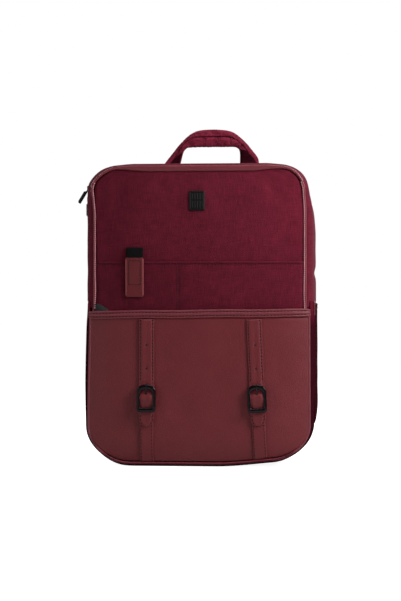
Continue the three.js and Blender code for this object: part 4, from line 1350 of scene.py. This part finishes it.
def rounded_rows(z0, z1, radius, step, corner_rows, digits):
    """Heights of the rows of a piece with rounded corners, closer together at its ends."""
    ends = radius - radius * np.cos(np.linspace(0, math.pi / 2, corner_rows))
    rows = np.concatenate([z0 + ends, z1 - ends, np.arange(z0 + radius, z1 - radius, step)])
    return np.unique(np.round(rows, digits))


def rounded_half(z, z0, z1, half, radius):
    """Half the width of a piece with rounded corners at each height."""
    d = np.clip(radius - np.minimum(z - z0, z1 - z), 0, radius)
    return half - (radius - np.sqrt(np.clip(radius**2 - d**2, 0, None)))


def rounded_patch(name, x0, x1, z0, z1, radius, surface, thickness, material, relief=None, step=1.2 * MM,
                  **options):
    """A thin patch with rounded corners that lies on a surface of the front."""
    middle, half = (x0 + x1) / 2, (x1 - x0) / 2
    z = rounded_rows(z0, z1, radius, step, 6, 7)
    u = np.linspace(-1, 1, max(int(2 * half / step), 6))
    x = middle + u[:, None] * rounded_half(z, z0, z1, half, radius)[None, :]
    zz = np.broadcast_to(z, x.shape)
    out = surface(x, zz)
    if relief is not None:
        out = out + relief(x, zz)
    return sheet(name, on_front(x, zz, out), thickness, material, **options)


BADGE_THICKNESS = 1.5 * MM


def build_badge():
    box_low, box_high = low("badge_patch"), high("badge_patch")
    x0, x1, z0, z1 = box_low[0], box_high[0], box_low[2], box_high[2]

    def relief(x, z):
        edge = np.minimum(np.minimum(x - x0, x1 - x), np.minimum(z - z0, z1 - z))
        border = smoothstep(0.9 * MM, 1.3 * MM, edge) - smoothstep(2.0 * MM, 2.4 * MM, edge)
        bars = (np.sin((x - x0) * 2 * math.pi / (3.3 * MM)) > 0.1) * smoothstep(3.2 * MM, 3.6 * MM, edge)
        middle = np.abs(z - (z0 + z1) / 2) > 1.0 * MM
        return 0.45 * MM * border + 0.5 * MM * bars * middle

    def face(x, z):
        return panel_out(x, z) + BADGE_THICKNESS

    piece = rounded_patch("badge", x0, x1, z0, z1, 1.5 * MM, face, BADGE_THICKNESS, "rubber", relief,
                          0.45 * MM, body=FLAP)
    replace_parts(piece, "badge_patch")


# the box of stitches on the tab
TAB_BOX_HALF = 7.6 * MM
TAB_BOX_FOOT, TAB_BOX_HEAD = 236 * MM, 267 * MM


def build_tab():
    web_low, web_high = low("tab_webbing"), high("tab_webbing")
    tab_low, tab_high = low("tab_leather"), high("tab_leather")
    middle = (tab_low[0] + tab_high[0]) / 2

    def over(x, z):
        return slip_out(np.clip(x, tab_low[0], tab_high[0]), np.minimum(z, SLIP_TOP))

    def web_face(x, z):
        return over(x, z) + 2.9 * MM - 1.2 * MM * smoothstep(web_high[2] - 3 * MM, web_high[2], z)

    piece = rounded_patch("tab_webbing_band", web_low[0], web_high[0], web_low[2] - 1.5 * MM, web_high[2],
                          0.8 * MM, web_face, 3.0 * MM, "webbing", body=FLAP)
    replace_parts(piece, "tab_webbing")

    def top(x, z):
        edge = np.minimum(np.minimum(x - tab_low[0], tab_high[0] - x), z - tab_low[2])
        level, reach = (TAB_BOX_HEAD + TAB_BOX_FOOT) / 2, (TAB_BOX_HEAD - TAB_BOX_FOOT) / 2
        box = np.maximum(np.abs(x - middle) - TAB_BOX_HALF, np.abs(z - level) - reach)
        groove = 0.35 * MM * np.exp(-(box / (0.7 * MM)) ** 2)
        return over(x, z) + 3.9 * MM - 0.5 * MM * np.exp(-(edge / (0.8 * MM)) ** 2) - groove

    piece = rounded_patch("tab_strip", tab_low[0], tab_high[0], tab_low[2], tab_high[2], 1.6 * MM, top,
                          2.4 * MM, "tab_leather", None, 0.8 * MM, body=TAB)
    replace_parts(piece, "tab_leather")
    # the pale cut edges of the leather
    z = np.linspace(tab_low[2] + 1.8 * MM, tab_high[2] - 1.8 * MM, 40)
    for side, x in (("left", tab_low[0] + 0.35 * MM), ("right", tab_high[0] - 0.35 * MM)):
        sweep(f"tab_edge_{side}", on_front(x, z, over(x, z) + 2.9 * MM), (1.0, 0, 0), TOWARDS,
              oval(1.3 * MM, 2.0 * MM, 8), "cut_edge", body=TAB)
    left, right = middle - TAB_BOX_HALF, middle + TAB_BOX_HALF
    corners = [(left, TAB_BOX_FOOT), (left, TAB_BOX_HEAD), (right, TAB_BOX_HEAD), (right, TAB_BOX_FOOT),
               (left, TAB_BOX_FOOT)]
    for (ax, az), (bx, bz) in zip(corners[:-1], corners[1:]):
        x, z = np.linspace(ax, bx, 12), np.linspace(az, bz, 12)
        stitch(on_front(x, z, top(x, z) + 0.16 * MM), TOWARDS, "dark_thread", TAB, 3.6 * MM, 2.5 * MM)


# ---------------------------------------------------------------- grab handle

# its outer and inner outline seen from the front, in millimetres
HANDLE_OUTER = [(-60, 393), (-57.4, 401), (-47, 414.5), (-36.5, 427.3), (-25, 438.8), (-12.4, 446.2),
                (3, 448), (18, 448), (30, 446.4), (40, 442.4), (53.5, 431), (63.5, 419.5), (70.6, 409),
                (72, 400), (71, 393)]
HANDLE_INNER = [(-36, 393), (-35, 401), (-33, 409.5), (-31, 417), (-28, 421.6), (-22, 424), (3, 424.3),
                (20, 424.3), (34, 424.3), (40.5, 423.6), (44.6, 420.5), (46, 415), (46.2, 409.5), (46.2, 402),
                (46, 393)]


def build_handle():
    count = 130
    outer, inner = spline(HANDLE_OUTER, count) * MM, spline(HANDLE_INNER, count) * MM
    node_low, node_high = low("grab_handle"), high("grab_handle")
    depth = (node_low[1] + node_high[1]) / 2
    middle = (outer + inner) / 2
    base = node_low[2]
    thick = 4.5 * MM + 7.5 * MM * smoothstep(base + 8 * MM, base + 30 * MM, middle[:, 1])
    seam_at = 0.16
    near_seam = seam_at + np.array([0.13, 0.08, 0.045, 0.02, 0, -0.02, -0.045, -0.08, -0.13])
    spread = np.cos(np.linspace(0, math.pi, 19))
    spread = np.sign(spread) * np.abs(spread) ** 0.8
    spread = spread[(np.abs(spread) < 0.999) & (np.abs(spread - seam_at) > 0.14)]
    front_side = np.sort(np.concatenate([spread, near_seam]))[::-1]
    a = np.concatenate([[1.0], front_side, [-1.0], front_side[::-1]])
    b = np.sqrt(np.clip(1 - np.abs(a) ** 2.5, 0, None)) ** 0.7
    b[1 + len(front_side):] *= -1
    sides = len(a)
    seam = 0.5 * np.exp(-((a - seam_at) / 0.04) ** 2) + 0.14 * np.exp(-((a - seam_at) / 0.2) ** 2)
    b = b * (1 - seam)
    flat = middle[:, None] + (outer - inner)[:, None] / 2 * a[None, :, None]
    puff = 1 + 0.05 * np.sin(np.linspace(0, 26, count))[:, None]
    deep = depth + thick[:, None] / 2 * b[None, :] * puff
    points = np.stack([flat[..., 0], deep, flat[..., 1]], axis=-1)
    points += 0.35 * MM * wander(points, 55, 4.0)[..., None]
    sewn = np.maximum(np.exp(-((a - seam_at) / 0.12) ** 2), smoothstep(0.9, 0.99, np.abs(a)))
    legs_end = 1 - smoothstep(base + 10 * MM, base + 30 * MM, middle[:, 1])
    held = np.maximum(sewn[None], legs_end[:, None]).ravel()
    run = lengths(middle)
    girth = np.cumsum(np.full(sides, 36 * MM / sides))
    places = np.stack(np.broadcast_arrays(run[:, None], girth[None, :], np.zeros((1, 1))), axis=-1)
    piece = add_piece("handle_grip", points.reshape(-1, 3), ring_faces(count, sides), "lit_handle_fabric",
                      places.reshape(-1, 3), soft=False, body=(BODY, "top_handle"),
                      span=((0, depth, base), (0, depth, base + 5 * MM)),
                      stuffing={"held": held, "cap": 1.6 * MM, "pressure": 3.0, "slack": 0.05})
    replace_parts(piece, "grab_handle")
    # painted shade: a dark sheet over the inner part of each leg, below the band, standing in for the shade
    # on the leg's turned-away underside
    for name, first, last, edges in (("right", 94, 127, (-0.86, 0.02, 0.42, 0.86, 0.93)),
                                     ("left", 3, 28, (0.6, 0.5, 0.2, -0.4, -0.86))):
        at = np.arange(first, last)
        reach = np.interp(np.linspace(0, 1, len(at)), (0, 0.16, 0.45, 0.8, 1), edges)
        u = -0.9 + (reach[:, None] + 0.9) * np.linspace(0, 1, 14)[None, :]
        flat = middle[at, None] + (outer - inner)[at, None] / 2 * u[..., None]
        stand = np.sqrt(np.clip(1 - np.abs(u) ** 2.5, 0, None)) ** 0.7
        deep = depth - thick[at, None] / 2 * stand - 0.5 * MM
        grid = np.stack([flat[..., 0], deep, flat[..., 1]], axis=-1)
        sheet(f"handle_leg_shade_{name}", grid, 0.7 * MM, "dark_gusset", soft=False, body=(BODY, "top_handle"),
              span=((0, depth, base), (0, depth, base + 5 * MM)))


# ---------------------------------------------------------------- side pockets, garages


# how far the zip's end patches stand out from the wall; the left one makes room for the lower pull
GARAGE_STAND = {"left": 4.0 * MM, "right": 6.0 * MM}


def build_sides():
    for side, sign in (("left", -1), ("right", 1)):
        box_low, box_high = low(f"side_pocket_{side}"), high(f"side_pocket_{side}")
        y = np.linspace(box_low[1], box_high[1], 30)
        z = np.linspace(box_low[2], box_high[2], 40)
        t = (y - y[0]) / (y[-1] - y[0])
        arch = np.sin(math.pi * np.clip(t, 0.0, 1.0)) ** 0.45
        up = rise(z - z[0] + 3 * MM, 40 * MM)
        yy, zz = np.meshgrid(y, z, indexing="ij")
        place = np.stack([np.zeros_like(yy), yy, zz], axis=-1)
        wave = 0.7 * MM * wander(place, 34, 6 + sign)
        stand = 5.6 * MM + 2.8 * MM * arch[:, None] * up[None, :] + wave * arch[:, None]
        outer = LOWER_HALF + stand
        grid = np.stack([sign * outer, yy, zz], axis=-1)[::sign]
        piece = sheet(f"side_pocket_{side}_cloth", grid, 1.3 * MM, "dark_gusset")
        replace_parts(piece, f"side_pocket_{side}")
        hem_low, hem_high = low(f"side_pocket_hem_{side}"), high(f"side_pocket_hem_{side}")
        middle = (hem_low[2] + hem_high[2]) / 2
        ruffle = 0.5 * MM * np.sin(t * 2 * math.pi * 9)
        reach = outer[:, -1] - 1.4 * MM + ruffle * 0.6
        path = np.stack([sign * reach, y, np.full_like(y, middle - 0.6 * MM)], axis=1)
        piece = sweep(f"side_hem_{side}", path, (0, 0, 1), (sign, 0, 0), oval(8 * MM, 2.4 * MM, 16),
                      "dark_gusset")
        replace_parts(piece, f"side_pocket_hem_{side}")
        for offset in (-2.6 * MM, 2.2 * MM):
            stitch(path + [sign * 1.3 * MM, 0, offset], (sign, 0, 0))
        # the leather patch that ends the zip
        box_low, box_high = low(f"zip_garage_{side}"), high(f"zip_garage_{side}")
        y = np.linspace(box_low[1], box_high[1] - 0.5 * MM, 12)
        z = np.linspace(box_low[2], box_high[2], 14)
        yy, zz = np.meshgrid(y, z, indexing="ij")
        reach = LOWER_HALF + GARAGE_STAND[side]
        grid = np.stack([np.full_like(yy, sign * reach), yy, zz], axis=-1)[::sign]
        piece = sheet(f"garage_{side}", grid, 1.4 * MM, "leather")
        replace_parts(piece, f"zip_garage_{side}")


# ---------------------------------------------------------------- carrying side


def pad_mesh(name, x0, x1, z0, z1, radius, y0, thickness, material, channels=()):
    """A padded panel: flat behind, crowned in front, pulled in at its rounded outline and sewn channels."""
    middle, half = (x0 + x1) / 2, (x1 - x0) / 2
    z = rounded_rows(z0, z1, radius, 3 * MM, 9, 6)
    from_end = np.minimum(z - z0, z1 - z)
    width = rounded_half(z, z0, z1, half, radius)
    u = np.linspace(-1, 1, 41)
    u = 0.45 * u + 0.55 * np.sin(u * math.pi / 2)
    x = middle + u[:, None] * width[None, :]
    zz = np.broadcast_to(z, x.shape)
    side = width[None, :] - np.abs(x - middle)
    over = np.broadcast_to(from_end, x.shape)
    crown = rise(side, 16 * MM) * rise(over, 16 * MM)
    height = 1.6 * MM + (thickness - 1.6 * MM) * crown
    for level in channels:
        height = height - (thickness * 0.62) * np.exp(-((zz - level) / (4.2 * MM)) ** 2) * crown
    grid = np.stack([x, y0 + height, zz], axis=-1)[::-1]
    sewn = 1 - smoothstep(2 * MM, 9 * MM, np.minimum(side, over))
    for level in channels:
        sewn = np.maximum(sewn, np.exp(-((zz - level) / (3.4 * MM)) ** 2))
    held = np.concatenate([sewn[::-1].ravel(), np.ones(sewn.size)])
    return sheet(name, grid, (height - 0.2 * MM)[::-1], material,
                 stuffing={"held": held, "cap": 3.5 * MM, "pressure": 4.0, "slack": 0.06})


def build_back():
    knee, shoulder = WALL_RADIUS, TOP - BACK_RADIUS
    rows = np.concatenate([turn_down(knee, WALL_RADIUS, 16), np.linspace(knee, shoulder, 70),
                           turn_up(shoulder, BACK_RADIUS, 13)])
    width = half_width(rows, LOWER_HALF, TOP, 0, BACK_RADIUS, WALL_RADIUS)
    x = eased(81, 0.4)[:, None] * width[None, :]
    zz = np.broadcast_to(rows, x.shape)
    side = np.clip(width[None, :] - np.abs(x), 0, None)
    y = BACK - 2.2 * MM + 2.2 * MM * rise(side, 14 * MM) + 0.3 * MM * ripple(x, zz, 20, 5.5)
    grid = np.stack([x, y, zz], axis=-1)[::-1]
    piece = sheet("back_panel_cloth", grid, 4.5 * MM, "fabric")
    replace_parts(piece, "back_panel")
    # the welt round the back edge
    points, outward = all_round(LOWER_HALF + 0.2 * MM, TOP, BACK_RADIUS, 1.9 * MM, WALL_RADIUS)
    path, out = upright(points, BACK - 3.4 * MM), upright(outward)
    sweep("back_welt", path - out * 0.3 * MM, out, (0, 1.0, 0), oval(3.6 * MM, 3.6 * MM, 12, 1.0), "gusset",
          closed=True)
    for name, channels in (("back_pad_left", (0.198, 0.27)), ("back_pad_right", (0.198, 0.27)),
                           ("lumbar_pad", ())):
        a, b = low(name), high(name)
        piece = pad_mesh(f"{name}_mesh", a[0], b[0], a[2], b[2], 14 * MM, a[1], b[1] - a[1], "air_mesh",
                         channels=channels)
        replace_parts(piece, name)
    a, b = low("strap_yoke"), high("strap_yoke")
    x = np.linspace(a[0], b[0], 60)
    z = np.linspace(a[2], b[2], 16)
    xx, zz = np.meshgrid(x, z, indexing="ij")
    bulge = np.clip(np.minimum(zz - a[2], b[2] - zz) / (10 * MM), 0, 1)
    grid = np.stack([xx, a[1] + 1.4 * MM + 1.6 * MM * bulge ** 0.6, zz], axis=-1)[::-1]
    piece = sheet("yoke_cloth", grid, 1.4 * MM + 1.5 * MM * bulge[::-1] ** 0.6, "fabric")
    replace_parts(piece, "strap_yoke")
    for level in (a[2] + 3 * MM, b[2] - 3 * MM):
        seam = flat_line((a[0] + 2 * MM, b[0] - 2 * MM), a[1] + 2.6 * MM, level, 40)
        stitch(seam, (0, 1.0, 0), "dark_thread")


SHOULDER_LINE = [(10, 378), (17, 352), (27, 300), (30, 240), (25, 180), (15, 142)]
SHOULDER_TOP, SHOULDER_LOW = 62, 96


def build_shoulder(side, sign):
    count = 90
    line = spline(SHOULDER_LINE, count) * MM
    slant = (SHOULDER_LOW - SHOULDER_TOP) / (378 - 132)
    x = sign * (SHOULDER_TOP * MM + slant * (378 * MM - line[:, 1]))
    path = np.stack([x, BACK + line[:, 0], line[:, 1]], axis=1)
    way = unit(np.gradient(path, axis=0))
    across = np.tile([1.0, 0, 0], (count, 1))
    outward = unit(np.cross(across, way)) * -1
    outward[outward[:, 1] < 0] *= -1
    run = lengths(path)
    ends = np.minimum(run, run[-1] - run)
    half = 29 * MM - 12 * MM * (1 - rise(ends, 26 * MM)) * (run > run[-1] / 2)
    thick = 11 * MM * (0.55 + 0.45 * rise(ends, 22 * MM))
    sides = 36
    angle = np.arange(sides) * 2 * math.pi / sides
    a = np.sign(np.cos(angle)) * np.abs(np.cos(angle)) ** 0.62
    b = np.sign(np.sin(angle)) * np.abs(np.sin(angle)) ** 0.85
    section = np.stack([half[:, None] * a[None], thick[:, None] / 2 * b[None]], axis=-1)
    under_webbing = (b > 0) * (1 - smoothstep(0.36, 0.55, np.abs(a)))
    sewn = np.broadcast_to(np.maximum(smoothstep(0.86, 0.98, np.abs(a)), under_webbing)[None], (count, sides))
    tips = np.maximum(1 - ends / (8 * MM), 0)[:, None]
    sewn = np.maximum(sewn, tips)
    held = np.concatenate([np.ones(sides), sewn.ravel(), np.ones(sides)])
    piece = sweep(f"shoulder_{side}", path, across, outward, section, "fabric",
                  stuffing={"held": held, "cap": 2.2 * MM, "pressure": 3.0, "slack": 0.04})
    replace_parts(piece, f"shoulder_strap_{side}")
    # bound edges
    for edge in (-1, 1):
        rim = path + across * (edge * half)[:, None]
        which = "in" if edge * sign < 0 else "out"
        sweep(f"shoulder_edge_{side}_{which}", rim[1:-1], across[1:-1], outward[1:-1],
              oval(3.4 * MM, 3.8 * MM, 10, 1.0), "webbing")
    # webbing sewn down the middle of the outer face
    band = path + outward * (thick / 2 + 0.2 * MM)[:, None]
    part = slice(10, 84)
    band, across, outward = band[part], across[part], outward[part]
    sweep(f"shoulder_webbing_{side}", band, across, outward, oval(20 * MM, 1.6 * MM, 14, 0.5), "webbing")
    for offset in (-8 * MM, 8 * MM):
        stitch(band + across * offset + outward * 0.85 * MM, outward, "black_thread", BODY)


WEBBING_HALF = 12.5 * MM
WEBBING_THICKNESS = 1.6 * MM


def flat_band(node_low, node_high, name, line, body):
    """A webbing band of even width whose middle runs along a line in Y and Z."""
    x = (node_low[0] + node_high[0]) / 2
    path = np.stack([np.full(len(line), x), line[:, 0], line[:, 1]], axis=1)
    across = np.array([1.0, 0, 0])
    outward = unit(np.cross(np.gradient(path, axis=0), across))
    section = oval(2 * WEBBING_HALF, WEBBING_THICKNESS, 14, 0.45)
    return sweep(name, path, across, outward, section, "webbing", soft=False, body=body)


def build_adjuster(side):
    nodes = {name: (low(f"{name}_{side}"), high(f"{name}_{side}")) for name in
             ("strap_webbing", "webbing_tail", "ladder_lock", "lock_keeper", "strap_wing")}
    lock_low, lock_high = nodes["ladder_lock"]
    middle = (lock_low[2] + lock_high[2]) / 2
    line = spline([(BACK + 4.6 * MM, 40 * MM), (BACK + 6 * MM, 60 * MM), (BACK + 9 * MM, 90 * MM),
                   (BACK + 10.4 * MM, middle)], 40)
    piece = flat_band(*nodes["strap_webbing"], f"webbing_{side}", line, BODY)
    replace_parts(piece, f"strap_webbing_{side}")
    face = lock_high[1]
    line = spline([(face + 1.4 * MM, middle), (face + 1.6 * MM, 90 * MM), (face, 52 * MM)], 40)
    tail = flat_band(*nodes["webbing_tail"], f"tail_{side}", line, f"lock_{side}")
    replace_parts(tail, f"webbing_tail_{side}")
    # the loop that carries the lock
    keep_low, keep_high = nodes["lock_keeper"]
    x = (keep_low[0] + keep_high[0]) / 2
    half = (keep_high[0] - keep_low[0]) / 2
    bar_y, bar_z = (lock_low[1] + lock_high[1]) / 2, lock_high[2] - 1.7 * MM
    angle = np.linspace(math.radians(100), math.radians(440), 34)
    radius = 3.2 * MM
    ring = np.stack([np.full(34, x), bar_y + radius * np.cos(angle), bar_z + radius * np.sin(angle)], axis=1)
    out = unit(ring - [x, bar_y, bar_z])
    loop = Parts()
    loop.add(*swept(ring, (1.0, 0, 0), out, oval(2 * half, 1.2 * MM, 14, 0.45)))
    strip = flat_line(x, bar_y, (bar_z + 3 * MM, keep_high[2]), 6)
    loop.add(*swept(strip, (1.0, 0, 0), (0, 1.0, 0), oval(2 * half, 1.5 * MM, 14, 0.45)))
    piece = loop.piece(f"keeper_{side}", "webbing", soft=False)
    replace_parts(piece, f"lock_keeper_{side}")
    # the sewn wing at the foot
    wing_low, wing_high = nodes["strap_wing"]
    sign = 1 if wing_low[0] > 0 else -1
    t, s = np.meshgrid(np.linspace(0, 1, 24), np.linspace(0, 1, 20), indexing="ij")
    x = 84 + 44 * t
    z = (24 + 36 * t) * (1 - s) + (60 + 12 * t) * s
    puff = np.clip(np.minimum(np.minimum(s, 1 - s) * 6, np.minimum(t, 1 - t) * 8), 0, 1) ** 0.5
    y = wing_low[1] + 1.2 * MM + 1.8 * MM * puff
    grid = np.stack([sign * x * MM, y, z * MM], axis=-1)[::-sign]
    piece = sheet(f"wing_{side}", grid, (1.0 * MM + 1.6 * MM * puff)[::-sign], "fabric", soft=False)
    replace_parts(piece, f"strap_wing_{side}")


# ---------------------------------------------------------------- inside


def build_inside():
    inner_half, top = high("compartment_lining")[0], high("compartment_lining")[2]
    start, end = low("compartment_lining")[1] + 0.5 * MM, high("compartment_lining")[1]
    foot, top_radius, low_radius = 3.6 * MM, 30 * MM, 43 * MM
    points, outward = all_round(inner_half, top, top_radius, foot, low_radius)
    depths = np.linspace(start - FRONT, end - FRONT - 1 * MM, 16)
    grid = wall_grid(points, outward, depths, lambda depth: -0.2 * MM + 0 * depth)
    piece = sheet("lining_wall", grid, 0.8 * MM, "inner_cloth", loop=True)
    rows = np.concatenate([turn_down(low_radius, low_radius - foot, 10),
                           np.linspace(low_radius, top - top_radius, 40),
                           turn_up(top - top_radius, top_radius, 10)])
    width = half_width(rows, inner_half, top, foot, top_radius, low_radius) - 0.4 * MM
    u = np.linspace(-1, 1, 61)
    x = u[:, None] * width[None, :]
    zz = np.broadcast_to(rows, x.shape)
    y = end - 1.4 * MM + 0.5 * MM * ripple(x, zz, 14, 8.8)
    sheet("lining_back", np.stack([x, y, zz], axis=-1), 0.8 * MM, "inner_cloth")
    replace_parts(piece, "compartment_lining")

    a, b = low("laptop_sleeve"), high("laptop_sleeve")
    rows = np.linspace(a[2], b[2], 60)
    width = half_width(rows, b[0], 2.0, a[2], 1 * MM, 34 * MM)
    x = u[:, None] * width[None, :]
    zz = np.broadcast_to(rows, x.shape)
    side = np.clip(width[None, :] - np.abs(x), 0, None)
    y = a[1] + 9 * MM * (1 - rise(side, 9 * MM)) + 0.8 * MM * ripple(x, zz, 15, 2.8) + 1 * MM
    piece = sheet("sleeve_cloth", np.stack([x, y, zz], axis=-1), 3.2 * MM, "inner_cloth")
    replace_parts(piece, "laptop_sleeve")
    xs = np.linspace(-b[0] + 1.5 * MM, b[0] - 1.5 * MM, 60)
    edge = np.stack([xs, np.interp(xs, x[:, -1], y[:, -1]) + 1.2 * MM, np.full(60, b[2] - 1 * MM)], axis=1)
    sweep("sleeve_edge", edge, (0, 0, 1.0), TOWARDS, oval(9 * MM, 5 * MM, 12), "webbing")
    strap_low, strap_high = low("sleeve_strap"), high("sleeve_strap")
    y0 = strap_low[1]
    line = spline([(strap_high[1] - 1 * MM, strap_high[2] - 1 * MM), (y0 + 12 * MM, strap_high[2] - 0.9 * MM),
                   (y0 + 3.4 * MM, strap_high[2] - 1.2 * MM), (y0 + 0.9 * MM, strap_high[2] - 4 * MM),
                   (y0 + 0.9 * MM, strap_low[2] + 20 * MM), (y0 + 0.9 * MM, strap_low[2])], 50)
    path = np.stack([np.zeros(50), line[:, 0], line[:, 1]], axis=1)
    outward = unit(np.cross(np.gradient(path, axis=0), [1.0, 0, 0]))
    piece = sweep("inner_strap_band", path, (1.0, 0, 0), outward, oval(40 * MM, 1.7 * MM, 14, 0.4), "webbing",
                  soft=False, body=INNER_STRAP)
    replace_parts(piece, "sleeve_strap")


# ---------------------------------------------------------------- put together


def paint(node, material):
    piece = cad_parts[node]
    piece.data.materials.clear()
    piece.data.materials.append(MATERIALS[material])


def main():
    make_camera()
    make_studio()
    make_floor()
    build_front_panel()
    build_binding()
    build_lip()
    build_arch()
    build_lower_wall()
    build_zip()
    build_pocket()
    for side, lean in (("left", 0.0), ("right", math.radians(-2.5))):
        strap = Strap(side, lean)
        build_strap(strap)
        build_buckle(strap)
    build_badge()
    build_tab()
    build_handle()
    build_sides()
    build_back()
    for side, sign in (("left", -1), ("right", 1)):
        build_shoulder(side, sign)
        build_adjuster(side)
        paint(f"ladder_lock_{side}", "plastic")
    build_inside()
    for node, material in (("zip_slider_upper", "gunmetal"), ("zip_slider_lower", "gunmetal"),
                           ("base_board", "board")):
        paint(node, material)
    build_pull("upper", True)
    build_pull("lower", False)
    sew()


main()
bpy.context.view_layer.update()
